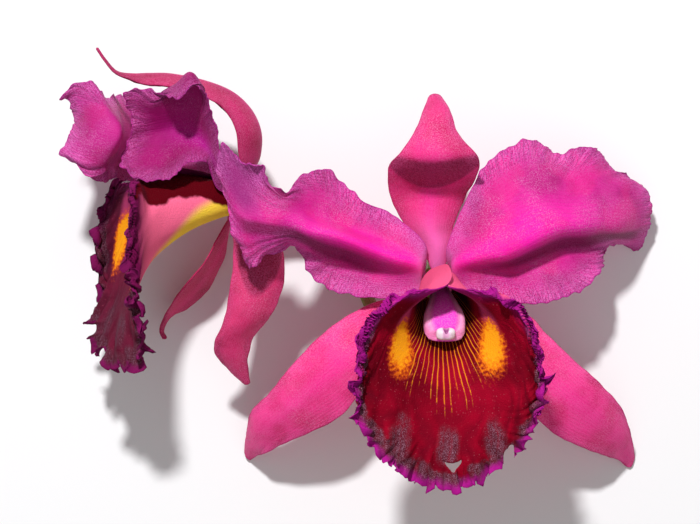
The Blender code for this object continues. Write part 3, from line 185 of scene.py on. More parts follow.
sideFarPetalNet = (
    ((-4.6, 6.3, 23.0), (-5.0, 5.2, 23.2), (-5.3, 4.2, 23.5), (-5.7, 3.1, 23.8),
     (-6.0, 2.0, 24.0), (-6.3, 1.0, 24.4), (-6.6, 0.0, 24.8)),
    ((-11.7, 13.3, 15.0), (-12.3, 11.3, 15.5), (-12.8, 9.3, 16.0), (-13.2, 7.3, 17.0),
     (-13.5, 5.3, 18.0), (-13.7, 3.3, 19.0), (-13.8, 1.3, 20.0)),
    ((-20.3, 22.7, 5.0), (-21.3, 19.3, 7.0), (-22.0, 16.0, 9.0), (-22.3, 12.7, 11.0),
     (-22.3, 9.3, 12.3), (-22.1, 6.3, 13.5), (-21.7, 3.3, 14.5)),
    ((-28.3, 29.7, -1.0), (-29.2, 25.3, 3.0), (-29.8, 21.0, 7.0), (-30.2, 16.7, 9.0),
     (-30.0, 12.3, 9.5), (-29.7, 8.0, 9.5), (-29.0, 4.0, 9.5)),
    ((-35.0, 33.0, 1.5), (-35.0, 28.3, 8.0), (-35.0, 23.7, 13.0), (-35.2, 19.0, 14.5),
     (-35.3, 14.3, 13.0), (-35.0, 9.7, 10.5), (-34.7, 5.0, 8.0)),
    ((-40.0, 33.7, 12.0), (-39.3, 28.5, 22.0), (-38.7, 24.0, 28.0), (-38.7, 19.3, 30.0),
     (-39.5, 14.7, 27.0), (-40.0, 10.3, 21.0), (-39.0, 5.7, 15.0)),
    ((-43.3, 33.0, 29.0), (-40.7, 28.3, 39.0), (-38.7, 24.0, 44.5), (-38.7, 19.7, 45.5),
     (-40.7, 15.3, 42.5), (-42.5, 11.0, 36.0), (-41.3, 7.0, 28.0)),
    ((-45.3, 34.7, 38.0), (-43.3, 29.7, 44.5), (-42.0, 24.7, 47.5), (-42.0, 19.7, 48.0),
     (-43.3, 14.7, 46.0), (-44.3, 9.5, 41.5), (-43.3, 4.7, 35.5)),
    ((-49.0, 38.0, 42.5), (-48.3, 32.3, 44.0), (-48.0, 26.7, 45.0), (-48.2, 21.0, 45.3),
     (-48.7, 15.7, 44.7), (-49.0, 10.7, 43.0), (-48.5, 6.3, 40.0)),
    ((-54.3, 37.8, 43.0), (-52.7, 33.0, 41.5), (-52.0, 28.0, 40.5), (-52.3, 23.0, 40.3),
     (-53.3, 18.3, 41.0), (-54.3, 14.3, 42.0), (-54.0, 11.0, 41.5)),
    ((-58.7, 33.0, 40.0), (-56.0, 31.7, 38.0), (-54.3, 28.7, 36.5), (-54.2, 24.7, 36.0),
     (-55.8, 21.0, 36.8), (-57.5, 17.5, 38.5), (-59.0, 14.3, 40.5)),
)
sideNearSepalNet = (
    ((-1.5, -10.0, 38.0), (0.3, -10.3, 39.5), (2.3, -10.7, 40.0), (4.2, -11.0, 39.0), (6.0, -11.0, 37.0)),
    ((-1.0, -16.3, 38.0), (2.7, -16.7, 40.5), (6.7, -17.0, 41.0), (10.7, -17.0, 39.0), (14.3, -16.7, 35.5)),
    ((-1.3, -24.0, 37.5), (2.8, -24.5, 40.5), (7.2, -24.7, 41.0), (11.7, -25.0, 39.0), (15.8, -25.0, 35.0)),
    ((-2.5, -32.3, 36.5), (1.7, -32.5, 39.5), (6.0, -32.7, 40.0), (10.3, -32.8, 38.0), (14.4, -32.7, 34.5)),
    ((-4.3, -41.0, 34.0), (-0.5, -41.0, 36.5), (3.5, -40.7, 37.0), (7.3, -40.3, 35.5), (11.0, -39.8, 33.0)),
    ((-7.3, -48.3, 29.5), (-4.3, -48.0, 31.5), (-1.0, -47.7, 32.0), (2.3, -47.0, 31.0), (5.7, -46.3, 29.0)),
    ((-6.7, -52.7, 26.0), (-4.0, -53.0, 27.5), (-1.3, -53.0, 28.0), (1.3, -52.8, 27.0), (3.8, -52.3, 25.5)),
    ((-3.0, -57.5, 22.0), (-1.3, -57.8, 22.8), (0.4, -57.9, 23.0), (2.1, -57.7, 22.5), (3.7, -57.3, 21.5)),
    ((1.5, -61.3, 18.0), (2.3, -61.9, 18.2), (3.0, -62.3, 18.3), (3.7, -62.2, 18.2), (4.3, -61.8, 18.0)),
)
sideFarSepalNet = (
    ((-3.8, -9.0, 27.0), (-3.6, -10.7, 24.0), (-3.5, -12.0, 21.0), (-3.4, -13.0, 18.0), (-3.3, -14.0, 15.0)),
    ((-6.7, -14.3, 27.0), (-6.7, -16.3, 22.5), (-6.2, -18.0, 18.0), (-5.4, -19.3, 14.0), (-4.3, -20.3, 10.0)),
    ((-10.1, -20.7, 25.5), (-10.0, -22.7, 20.5), (-9.3, -24.5, 15.5),
     (-8.3, -25.7, 10.5), (-7.2, -26.5, 6.0)),
    ((-15.2, -27.2, 22.5), (-14.8, -29.0, 17.5), (-13.9, -30.5, 12.5),
     (-12.7, -31.7, 7.0), (-11.2, -32.5, 2.0)),
    ((-20.2, -33.2, 18.5), (-19.7, -34.7, 14.0), (-18.8, -35.8, 9.5),
     (-17.5, -36.5, 4.5), (-16.2, -37.0, 0.0)),
    ((-22.8, -37.5, 14.5), (-22.6, -38.2, 12.0), (-22.2, -38.7, 9.5),
     (-21.6, -39.0, 7.0), (-20.8, -39.2, 4.5)),
    ((-24.8, -41.5, 11.0), (-24.6, -41.7, 10.0), (-24.3, -41.8, 9.0),
     (-23.9, -41.8, 8.0), (-23.4, -41.7, 7.0)),
    ((-25.8, -44.7, 9.3), (-25.5, -44.9, 9.0), (-25.2, -45.0, 8.6), (-24.8, -45.0, 8.2), (-24.4, -44.8, 7.8)),
    ((-24.8, -47.2, 8.8), (-24.4, -47.2, 8.6), (-24.0, -47.1, 8.4), (-23.7, -47.0, 8.2), (-23.5, -46.7, 8.0)),
)


def smoothCurve(points, places):
    points = np.asarray(points, float)
    padded = np.concatenate([[2 * points[0] - points[1]], points, [2 * points[-1] - points[-2]]])
    spans = len(points) - 1
    at = np.clip(np.asarray(places, float), 0, 1) * spans
    span = np.minimum(at.astype(int), spans - 1)
    t = (at - span).reshape(-1, *[1] * (points.ndim - 1))
    a, b, c, d = (padded[span + k] for k in range(4))
    return 0.5 * (2 * b + (c - a) * t + (2 * a - 5 * b + 4 * c - d) * t**2 + (3 * b - a - 3 * c + d) * t**3)


def smoothStep(value):
    value = np.clip(value, 0, 1)
    return value * value * (3 - 2 * value)


def bloomAxes(forward):
    forward = np.asarray(forward, float) / np.linalg.norm(forward)
    right = np.cross((0.0, 1.0, 0.0), forward)
    right /= np.linalg.norm(right)
    return np.array((right, np.cross(forward, right), forward))


def frontAxes():
    pitch, lean = math.radians(spray["frontPitch"]), math.radians(spray["frontLean"])
    return bloomAxes((math.cos(pitch) * math.sin(lean), -math.sin(pitch), math.cos(pitch) * math.cos(lean)))


def sideAxes():
    pitch, turn = math.radians(spray["sidePitch"]), math.radians(spray["sideTurn"])
    return bloomAxes((-math.cos(pitch) * math.cos(turn), -math.sin(pitch), math.cos(pitch) * math.sin(turn)))


def asDrawn(points):
    eye = spray["eye"]
    spread = (eye[2] - points[..., 2:]) / (eye[2] - spray["drawnAt"])
    points[..., :2] = eye[:2] + (points[..., :2] - eye[:2]) * spread
    return points


def inBloom(heart, axes, right, up, forward):
    return np.asarray(heart) + right * axes[0] + up * axes[1] + forward * axes[2]


def sheetNormals(grid):
    normal = np.cross(np.gradient(grid, axis=0), np.gradient(grid, axis=1))
    return normal / np.maximum(np.linalg.norm(normal, axis=2, keepdims=True), 1e-9)


def unit(vectors):
    return vectors / np.maximum(np.linalg.norm(vectors, axis=-1, keepdims=True), 1e-9)


class Wiring:
    # short words for the nodes of one tree; a term is a plain value or another node's socket
    def __init__(self, tree):
        self.tree = tree

    def feed(self, socket, term):
        if isinstance(term, bpy.types.NodeSocket):
            self.tree.links.new(term, socket)
        elif socket.type == "RGBA":
            socket.default_value = (*term, 1.0)
        else:
            socket.default_value = term

    def step(self, kind, **terms):
        # underscores stand for the spaces in a socket's name
        node = self.tree.nodes.new(kind)
        for name, term in terms.items():
            self.feed(node.inputs[name.replace("_", " ")], term)
        return node

    def work(self, operation, *terms):
        node = self.tree.nodes.new("ShaderNodeMath")
        node.operation = operation
        for socket, term in zip(node.inputs, terms):
            self.feed(socket, term)
        return node.outputs[0]

    def plus(self, first, *others):
        for other in others:
            first = self.work("ADD", first, other)
        return first

    def times(self, first, *others):
        for other in others:
            first = self.work("MULTIPLY", first, other)
        return first

    def minus(self, first, second):
        return self.work("SUBTRACT", first, second)

    def between(self, first, second):
        return self.work("ABSOLUTE", self.minus(first, second))

    def vectorWork(self, operation, first, second):
        node = self.tree.nodes.new("ShaderNodeVectorMath")
        node.operation = operation
        self.feed(node.inputs[0], first)
        self.feed(node.inputs["Scale" if operation == "SCALE" else 1], second)
        return node.outputs[0]

    def vector(self, x, y, z=0.0):
        return self.step("ShaderNodeCombineXYZ", X=x, Y=y, Z=z).outputs[0]

    def parts(self, vector):
        return self.step("ShaderNodeSeparateXYZ", Vector=vector).outputs

    def ramp(self, value, low, high, toLow=0.0, toHigh=1.0):
        # a soft step that may also run downwards
        spans = {"From_Min": low, "From_Max": high, "To_Min": toLow, "To_Max": toHigh}
        node = self.step("ShaderNodeMapRange", Value=value, **spans)
        node.interpolation_type = "SMOOTHSTEP"
        return node.outputs["Result"]

    def noise(self, source, scale=1.0, detail=0.0, dimensions="3D"):
        node = self.step("ShaderNodeTexNoise", Scale=scale, Detail=detail)
        node.noise_dimensions = dimensions
        self.feed(node.inputs["W" if dimensions == "1D" else "Vector"], source)
        return node.outputs[0]

    def place(self):
        return self.tree.nodes.new("ShaderNodeTexCoord").outputs["Object"]

    def mottle(self, scale, detail=3.0):
        return self.noise(self.place(), scale, detail)

    def cloud(self, scale, low, high, detail=3.0):
        return self.ramp(self.mottle(scale, detail), low, high)

    def bladeMap(self):
        node = self.tree.nodes.new("ShaderNodeUVMap")
        node.uv_map = "bladeMap"
        return self.parts(node.outputs["UV"])[:2]

    def mark(self, name):
        node = self.tree.nodes.new("ShaderNodeAttribute")
        node.attribute_name = name
        return node.outputs["Fac"]

    def mix(self, share, first, second):
        node = self.tree.nodes.new("ShaderNodeMix")
        node.data_type = "RGBA"
        for number, term in ((0, share), (6, first), (7, second)):
            self.feed(node.inputs[number], term)
        return node.outputs[2]

    def group(self, tree, **settings):
        node = self.tree.nodes.new("ShaderNodeGroup")
        node.node_tree = tree
        for name, value in settings.items():
            node.inputs[name].default_value = value
        return node.outputs

    def bump(self, shader, height, depth):
        node = self.step("ShaderNodeBump", Height=height, Distance=depth, Strength=1.0)
        self.feed(shader.inputs["Normal"], node.outputs["Normal"])


def newGroup(name, kind, inputs, outputs):
    # a node group with its named sockets, ready to be wired
    tree = bpy.data.node_groups.new(name, kind)
    for way, sockets in (("INPUT", inputs), ("OUTPUT", outputs)):
        for label, sort, *value in sockets:
            socket = tree.interface.new_socket(label, in_out=way, socket_type="NodeSocket" + sort)
            if value:
                socket.default_value = value[0]
    given, result = tree.nodes.new("NodeGroupInput"), tree.nodes.new("NodeGroupOutput")
    return Wiring(tree), given.outputs, result.inputs


def readAttribute(wire, name, kind="FLOAT"):
    node = wire.tree.nodes.new("GeometryNodeInputNamedAttribute")
    node.data_type = kind
    node.inputs["Name"].default_value = name
    return node.outputs["Attribute"]


def finishShape(wire, shape, given, result):
    real = wire.step("GeometryNodeRealizeInstances", Geometry=shape)
    finish = wire.step("GeometryNodeSetMaterial", Geometry=real.outputs[0], Material=given["Finish"])
    wire.feed(result[0], finish.outputs[0])


frillSizes = {
    "Frill Height": 0.5, "Frill Length": 6.0, "Frill Reach": 5.0,
    "Crease Height": 0.2, "Crease Length": 1.8, "Crease Reach": 3.0,
    "Tooth Height": 0.4, "Tooth Length": 3.0, "Tooth Reach": 1.5,
}


def makeFrillTree():
    # waves, creases and teeth that follow the margin of a blade, however the margin runs
    sizes = [(name, "Float", value) for name, value in frillSizes.items()]
    wire, given, result = newGroup("frillAlongMargin", "GeometryNodeTree", [
        ("Geometry", "Geometry"), *sizes, ("Seed", "Float", 1.0), ("Finish", "Material"),
    ], [("Geometry", "Geometry")])
    place, depth, share = (readAttribute(wire, name) for name in ("marginPlace", "marginDepth", "frillShare"))
    waves = []
    for number, kind in enumerate(("Frill", "Crease", "Tooth")):
        seed = wire.times(wire.plus(given["Seed"], number * 3.7), 13.3)
        at = wire.plus(wire.work("DIVIDE", place, given[kind + " Length"]), seed)
        wave = wire.noise(at, detail=1.0 if kind == "Crease" else 0.0, dimensions="1D")
        wave = wire.times(wire.minus(wave, 0.5), 3.2)  # now from about -1 to 1
        inwards = wire.work("DIVIDE", depth, given[kind + " Reach"])
        fade = wire.work("EXPONENT", wire.times(inwards, -1.0))
        waves.append(wire.times(wave, fade, wire.times(given[kind + " Height"], share)))
    lift = wire.plus(waves[0], waves[1])
    up = wire.vectorWork("SCALE", readAttribute(wire, "sheetNormal", "FLOAT_VECTOR"), lift)
    out = wire.vectorWork("SCALE", readAttribute(wire, "outward", "FLOAT_VECTOR"), waves[2])
    offset = wire.vectorWork("ADD", up, out)
    moved = wire.step("GeometryNodeSetPosition", Geometry=given["Geometry"], Offset=offset)
    finishShape(wire, moved.outputs[0], given, result)
    return wire.tree


def makeStalkTree():
    # a ribbed stalk along its route, as thick at each point as the route's own radius
    wire, given, result = newGroup("ribbedStalk", "GeometryNodeTree", [
        ("Geometry", "Geometry"), ("Ribs", "Float", 3.0), ("Rib Depth", "Float", 0.05), ("Sides", "Int", 48),
        ("Finish", "Material"),
    ], [("Geometry", "Geometry")])
    circle = wire.step("GeometryNodeCurvePrimitiveCircle", Radius=1.0, Resolution=given["Sides"])
    along = wire.tree.nodes.new("GeometryNodeSplineParameter").outputs
    turn = wire.times(along["Factor"], given["Ribs"], math.tau)
    swell = wire.plus(wire.times(wire.work("COSINE", turn), given["Rib Depth"]), 1.0)
    spot = wire.tree.nodes.new("GeometryNodeInputPosition").outputs[0]
    ribbed = wire.vectorWork("SCALE", spot, swell)
    ribs = wire.step("GeometryNodeSetPosition", Geometry=circle.outputs[0], Position=ribbed)
    keeper = "GeometryNodeStoreNamedAttribute"
    round_, route = (
        wire.step(keeper, Geometry=shape, Name=name, Value=along[reading]).outputs[0]
        for shape, name, reading in (
            (ribs.outputs[0], "roundStalk", "Factor"),
            (given["Geometry"], "alongStalk", "Length"),
        )
    )
    sweep = wire.step("GeometryNodeCurveToMesh", Curve=route, Profile_Curve=round_, Fill_Caps=True)
    if "Scale" in sweep.inputs:
        wire.feed(sweep.inputs["Scale"], wire.tree.nodes.new("GeometryNodeInputRadius").outputs[0])
    finishShape(wire, sweep.outputs[0], given, result)
    return wire.tree


def grownMesh(name, source, tree, settings):
    # runs a geometry tree on a passing object and keeps only the plain mesh
    thing = bpy.data.objects.new(name + "Draft", source)
    bpy.context.scene.collection.objects.link(thing)
    grow = thing.modifiers.new("grow", "NODES")
    grow.node_group = tree
    for item in tree.interface.items_tree:
        if item.in_out == "INPUT" and item.name in settings:
            grow[item.identifier] = settings[item.name]
    bpy.context.view_layer.update()
    mesh = bpy.data.meshes.new_from_object(thing.evaluated_get(bpy.context.evaluated_depsgraph_get()))
    thing.modifiers.remove(grow)
    bpy.data.objects.remove(thing, do_unlink=True)
    mesh.name = name
    return mesh


def addPiece(name, mesh, node):
    # from millimetres on the table to a finished piece that stands for its node
    points = np.empty(len(mesh.vertices) * 3)
    mesh.vertices.foreach_get("co", points)
    points = points.reshape(-1, 3)
    points[:, 2] = np.maximum(points[:, 2], 0.0)
    mesh.vertices.foreach_set("co", (points * 0.001).ravel())
    mesh.shade_smooth()
    mesh.update()
    piece = bpy.data.objects.new(name, mesh)
    bpy.context.scene.collection.objects.link(piece)
    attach(piece, "root")
    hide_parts(node)
    print("  ", name, len(mesh.polygons), "faces")
    return piece


def quadMesh(name, points, faces):
    mesh = bpy.data.meshes.new(name)
    faces = np.asarray(faces, dtype=np.int32)
    corners = points[faces]
    middle = points.mean(axis=0)
    spans = np.cross(corners[:, 2] - corners[:, 0], corners[:, 3] - corners[:, 1])
    if np.einsum("ij,ij->i", corners.mean(axis=1) - middle, spans).sum() < 0:
        faces = faces[:, ::-1]
    mesh.vertices.add(len(points))
    mesh.vertices.foreach_set("co", points.ravel())
    mesh.loops.add(faces.size)
    mesh.loops.foreach_set("vertex_index", faces.ravel())
    mesh.polygons.add(len(faces))
    mesh.polygons.foreach_set("loop_start", np.arange(0, faces.size, 4, dtype=np.int32))
    mesh.update(calc_edges=True)
    return mesh, faces


def addMarks(mesh, faces, marks, flat):
    for name, values in marks.items():
        kind = "FLOAT_VECTOR" if values.ndim == 2 else "FLOAT"
        layer = mesh.attributes.new(name, kind, "POINT")
        layer.data.foreach_set("vector" if values.ndim == 2 else "value", values.ravel())
    uv = mesh.uv_layers.new(name="bladeMap")
    uv.data.foreach_set("uv", flat[faces.ravel()].ravel())


def marginMarks(sheet, along, side, start):
    # how far each point is from the margin, which place on the margin it belongs to, and which way is out
    steps = np.linalg.norm(np.diff(sheet, axis=1), axis=2)
    fromOne = np.concatenate([np.zeros((len(sheet), 1)), np.cumsum(steps, axis=1)], axis=1)
    lateral = np.minimum(fromOne, fromOne[:, -1:] - fromOne)
    onwards = np.linalg.norm(np.diff(sheet, axis=0), axis=2)
    toTip = np.concatenate([np.cumsum(onwards[::-1], axis=0)[::-1], np.zeros((1, sheet.shape[1]))], axis=0)
    depth = np.minimum(lateral, toTip)
    x = np.abs(side)[None, :] + 0 * along[:, None]
    y = (along - start)[:, None] / (1 - start) + 0 * x
    ratio = np.where(y <= x, y / np.maximum(x, 1e-6), 2 - x / np.maximum(y, 1e-6))
    ratio = np.where(y < 0, y, ratio)
    halves = []
    half = len(side) // 2
    for column, tipPart in ((0, slice(0, half + 1)), (-1, slice(len(side) - 1, half - 1, -1))):
        edgeSteps = np.linalg.norm(np.diff(sheet[:, column], axis=0), axis=1)
        edge = np.concatenate([[0.0], np.cumsum(edgeSteps)])
        tipSteps = np.linalg.norm(np.diff(sheet[-1, tipPart], axis=0), axis=1)
        tip = edge[-1] + np.concatenate([[0.0], np.cumsum(tipSteps)])
        reached = [*((along - start) / (1 - start)), *(1 + np.linspace(0, 1, len(tip))[1:])]
        halves.append(np.interp(ratio, reached, [*edge, *tip[1:]]))
    whole = halves[0].max() + halves[1].max()
    place = np.where(side[None, :] < 0, halves[0], whole - halves[1])
    tipShare = smoothStep((ratio - 0.75) / 0.5)[..., None]
    across = unit(np.gradient(sheet, axis=1)) * np.sign(side)[None, :, None]
    out = unit(across * (1 - tipShare) + unit(np.gradient(sheet, axis=0)) * tipShare)
    return depth, place, out


def keptQuads(quads, along, side, cutOuts):
    # leaves out the faces inside each cut-out, which lies between two bowed lines across the blade
    shape = (len(along) - 1, len(side) - 1)
    middleSide = np.broadcast_to((side[1:] + side[:-1]) / 2, shape).ravel()
    middleAlong = np.broadcast_to(((along[1:] + along[:-1]) / 2)[:, None], shape).ravel()
    kept = np.ones(len(quads), dtype=bool)
    for atSide, atAlong, wide, inner, outer in cutOuts:
        bow = 1 - ((middleSide - atSide) / wide) ** 2
        onwards = middleAlong - atAlong
        kept &= (bow < 0) | (onwards < inner * bow) | (onwards > outer * bow)
    return quads[kept]


def borderOf(quads, count):
    # the edges that only one face uses
    edges = np.concatenate([np.stack([quads[:, k], quads[:, (k + 1) % 4]], axis=1) for k in range(4)])
    codes, mirrored = edges[:, 0] * count + edges[:, 1], edges[:, 1] * count + edges[:, 0]
    return edges[~np.isin(codes, mirrored)]


def smoothedCuts(sheet, border, onMargin):
    # rounds the stepped border that a cut-out leaves
    sheet = sheet.copy()
    after, before = np.arange(len(sheet)), np.arange(len(sheet))
    after[border[:, 0]], before[border[:, 1]] = border[:, 1], border[:, 0]
    loop = np.unique(border)
    cut = loop[~onMargin[loop]]
    for _ in range(4):
        sheet[cut] = (sheet[cut] * 2 + sheet[after[cut]] + sheet[before[cut]]) / 4
    return sheet


def closedBlade(name, sheet, thickness, along, side, start, share, cutOuts=()):
    # two skins with a rounded margin between them, and the marks that the frills and the colours follow
    rows, columns = thickness.shape
    count = rows * columns
    normals = sheetNormals(sheet)
    depth, place, out = marginMarks(sheet, along, side, start)
    index = np.arange(count).reshape(rows, columns)
    quads = np.stack([index[:-1, :-1], index[1:, :-1], index[1:, 1:], index[:-1, 1:]], axis=-1).reshape(-1, 4)
    quads = keptQuads(quads, along, side, cutOuts)
    border = borderOf(quads, count)
    loop = np.unique(border)
    rimOf = np.full(count, -1)
    rimOf[loop] = 2 * count + np.arange(len(loop))
    onMargin = np.ones((rows, columns), dtype=bool)
    onMargin[1:-1, 1:-1] = False
    onMargin = onMargin.ravel()
    middle = smoothedCuts(sheet.reshape(-1, 3), border, onMargin)
    half = thickness.reshape(-1, 1) / 2
    offset = normals.reshape(-1, 3) * half
    rim = middle[loop] + out.reshape(-1, 3)[loop] * half[loop] * 0.7 * onMargin[loop, None]
    points = np.concatenate([middle + offset, middle - offset, rim])
    first, after = border[:, 0], border[:, 1]
    faces = np.concatenate([
        quads,
        quads[:, ::-1] + count,
        np.stack([after, first, rimOf[first], rimOf[after]], axis=1),
        np.stack([rimOf[after], rimOf[first], first + count, after + count], axis=1),
    ])
    used = np.unique(faces)
    renumber = np.zeros(len(points), dtype=int)
    renumber[used] = np.arange(len(used))
    mesh, faces = quadMesh(name, points[used], renumber[faces])

    def thrice(values):
        # one value for each skin and one for the rim
        values = values.reshape(count, -1)
        values = np.concatenate([values, values, values[loop]])[used]
        return values[:, 0] if values.shape[1] == 1 else values

    skin = np.concatenate([np.ones(count), -np.ones(count), np.zeros(len(loop))])[used]
    marks = {
        "marginDepth": thrice(depth), "marginPlace": thrice(place), "frillShare": thrice(share),
        "sheetNormal": thrice(normals), "outward": thrice(out), "skin": skin,
    }
    flat = np.stack(np.broadcast_arrays((side[None, :] + 1) / 2, along[:, None]), axis=-1).astype(float)
    addMarks(mesh, faces, marks, thrice(flat))
    return mesh


# Shader groups that several finishes share.
def makeGrainGroup():
    # the grain and glitter of the swollen surface cells, from Object coordinates
    wire, given, result = newGroup("sparkleGrain", "ShaderNodeTree", [
        ("Scale", "Float", 2400.0), ("Contrast", "Float", 0.5),
    ], [("Grain", "Float"), ("Sparkle", "Float")])
    place = wire.place()
    spread = wire.times(given["Contrast"], 0.3)
    noise = wire.noise(place, given["Scale"], 1.5)
    wire.feed(result["Grain"], wire.ramp(noise, wire.minus(0.5, spread), wire.plus(spread, 0.5)))
    cells = wire.step("ShaderNodeTexVoronoi", Vector=place, Scale=wire.times(given["Scale"], 0.6))
    wire.feed(result["Sparkle"], wire.ramp(cells.outputs["Distance"], 0.42, 0.12))
    return wire.tree


def makeVeinGroup():
    # fine veins that fan out with the blade map, each with a chance of its own
    wire, given, result = newGroup("fanVeins", "ShaderNodeTree", [
        ("Count", "Float", 40.0), ("Wander", "Float", 0.6), ("Width", "Float", 0.35), ("Seed", "Float", 0.0),
    ], [("Veins", "Float"), ("Ridge", "Float"), ("Chance", "Float")])
    across, along = wire.bladeMap()
    stretched = wire.vector(wire.times(across, 9.0), wire.times(along, 5.0), given["Seed"])
    sway = wire.times(wire.minus(wire.noise(stretched, detail=2.0), 0.5), given["Wander"], 4.0)
    line = wire.plus(wire.times(across, given["Count"]), sway)
    ridge = wire.between(wire.times(wire.work("FRACT", line), 2.0), 1.0)
    chance = wire.noise(wire.plus(wire.work("ROUND", line), given["Seed"]), 0.63, 1.0, "1D")
    wire.feed(result["Ridge"], ridge)
    wire.feed(result["Veins"], wire.ramp(ridge, given["Width"], 0.0))
    wire.feed(result["Chance"], wire.ramp(chance, 0.3, 0.7))
    return wire.tree


grainGroup, veinGroup = makeGrainGroup(), makeVeinGroup()


def newMaterial(name, roughness, sheen=0.0, sheenTint=(1.0, 1.0, 1.0), coat=0.0, shine=0.08):
    material = bpy.data.materials.new(name)
    material.use_nodes = True
    shader = material.node_tree.nodes["Principled BSDF"]
    shader.inputs["Roughness"].default_value = roughness
    shader.inputs["Specular IOR Level"].default_value = shine
    shader.inputs["Sheen Weight"].default_value = sheen
    shader.inputs["Sheen Roughness"].default_value = 0.4
    shader.inputs["Sheen Tint"].default_value = (*sheenTint, 1.0)
    shader.inputs["Coat Weight"].default_value = coat
    return material, Wiring(material.node_tree), shader


# Where the markings, the painted shade and the painted glints of a petal or sepal lie. Across and along run
# from 0 to 1, along from claw to tip.
petalZones = {
    "midribAlong": (0.95, 0.35), "clawSide": (0.62, 0.1, 0.35, 1.0), "clawFull": 0.06,
    "mottle": (90.0, 0.35, 0.7), "blotch": (75.0, 0.48, 0.62),
    "paintedGlints": (2700.0, 0.48, 0.68, 1.0), "paintedGlintsPatch": (55.0, 0.42, 0.60), "paintedGlintsAlong": (0.12, 0.35),
    "paintedRidgeShadeTop": (0.525, 0.59), "paintedRidgeShadeFoot": (0.73, 0.64),
    "paintedRidgeShadeStart": (0.12, 0.42), "paintedRidgeShadeEnd": (1.0, 0.88),
    "tipAlong": (0.80, 0.90), "tipAcross": (0.58, 0.42),
    "creasesPerMm": (0.75, 0.16), "creaseWidth": (0.05, 0.0), "creaseAlong": (0.2, 0.4),
    "shadeDip": 0.40, "shadeStart": 0.025, "shadeEnd": 0.04,
    "rimDepth": (0.7, 0.0), "reliefDepth": (14.0, 0.0, 0.35, 1.0),
}


def petalColour(wire, look, across, along, veins):
    # body, hot midrib, veins and a claw, pale on most blades and painted shade on the side bloom's near petal
    side = wire.between(across, look["midrib"])
    midrib = wire.ramp(side, look["midribWidth"], 0.0)
    midrib = wire.times(midrib, wire.ramp(along, *petalZones["midribAlong"]))
    colour = wire.mix(wire.cloud(*petalZones["mottle"]), look["body"], look["deep"])
    colour = wire.mix(midrib, colour, look["hot"])
    colour = wire.mix(wire.times(veins["Veins"], look["veinShare"]), colour, look["deep"])
    claw = wire.ramp(along, look["clawLength"], petalZones["clawFull"])
    colour = wire.mix(wire.times(claw, wire.ramp(side, *petalZones["clawSide"])), colour, look["claw"])
    # blotches, painted glints of pale cells in patches, painted shade in the groove under the midrib's ridge,
    # and a dull tip
    blotch = wire.times(wire.cloud(*petalZones["blotch"]), look["blotchShare"])
    colour = wire.mix(blotch, colour, look["blotch"])
    # painted glints: pale specks where cells catch light, in patches and away from the claw
    paintedGlints = wire.times(wire.cloud(*petalZones["paintedGlints"]), wire.cloud(*petalZones["paintedGlintsPatch"]))
    paintedGlints = wire.times(paintedGlints, wire.ramp(along, *petalZones["paintedGlintsAlong"]), look["paintedGlintsShare"])
    colour = wire.mix(paintedGlints, colour, look["paintedGlints"])
    # painted shade in the groove below the midrib's ridge
    paintedRidgeShade = wire.ramp(across, *petalZones["paintedRidgeShadeTop"])
    paintedRidgeShade = wire.times(paintedRidgeShade, wire.ramp(across, *petalZones["paintedRidgeShadeFoot"]))
    ends = wire.ramp(along, *petalZones["paintedRidgeShadeStart"])
    ends = wire.times(ends, wire.ramp(along, *petalZones["paintedRidgeShadeEnd"]))
    colour = wire.mix(wire.times(paintedRidgeShade, ends, look["paintedRidgeShadeShare"]), colour, look["paintedRidgeShade"])
    tip = wire.times(wire.ramp(along, *petalZones["tipAlong"]), wire.ramp(across, *petalZones["tipAcross"]))
    return wire.mix(wire.times(tip, look["tipShare"]), colour, look["tip"])


def marginCreases(wire, look, along, depth):
    perPlace, perDepth = petalZones["creasesPerMm"]
    spread = wire.vector(wire.times(wire.mark("marginPlace"), perPlace), wire.times(depth, perDepth))
    lines = wire.between(wire.noise(spread, detail=1.0, dimensions="2D"), 0.5)
    lines = wire.ramp(lines, *petalZones["creaseWidth"])
    lines = wire.times(lines, wire.ramp(depth, look["creaseReach"], 1.0))
    return wire.times(lines, wire.ramp(along, *petalZones["creaseAlong"]))


def shadeAcross(wire, look, across, along):
    # a bowed band of painted shade between two places along the blade
    start, end = look["shadeBand"]
    bow = wire.between(across, 0.5)
    bow = wire.times(bow, bow)
    fromStart = wire.minus(along, wire.times(bow, petalZones["shadeDip"]))
    fromEnd = wire.plus(along, wire.times(bow, look["shadeBow"]))
    started = wire.ramp(fromStart, start, start + petalZones["shadeStart"])
    return wire.times(started, wire.ramp(fromEnd, end, end - petalZones["shadeEnd"]), look["shadeShare"])


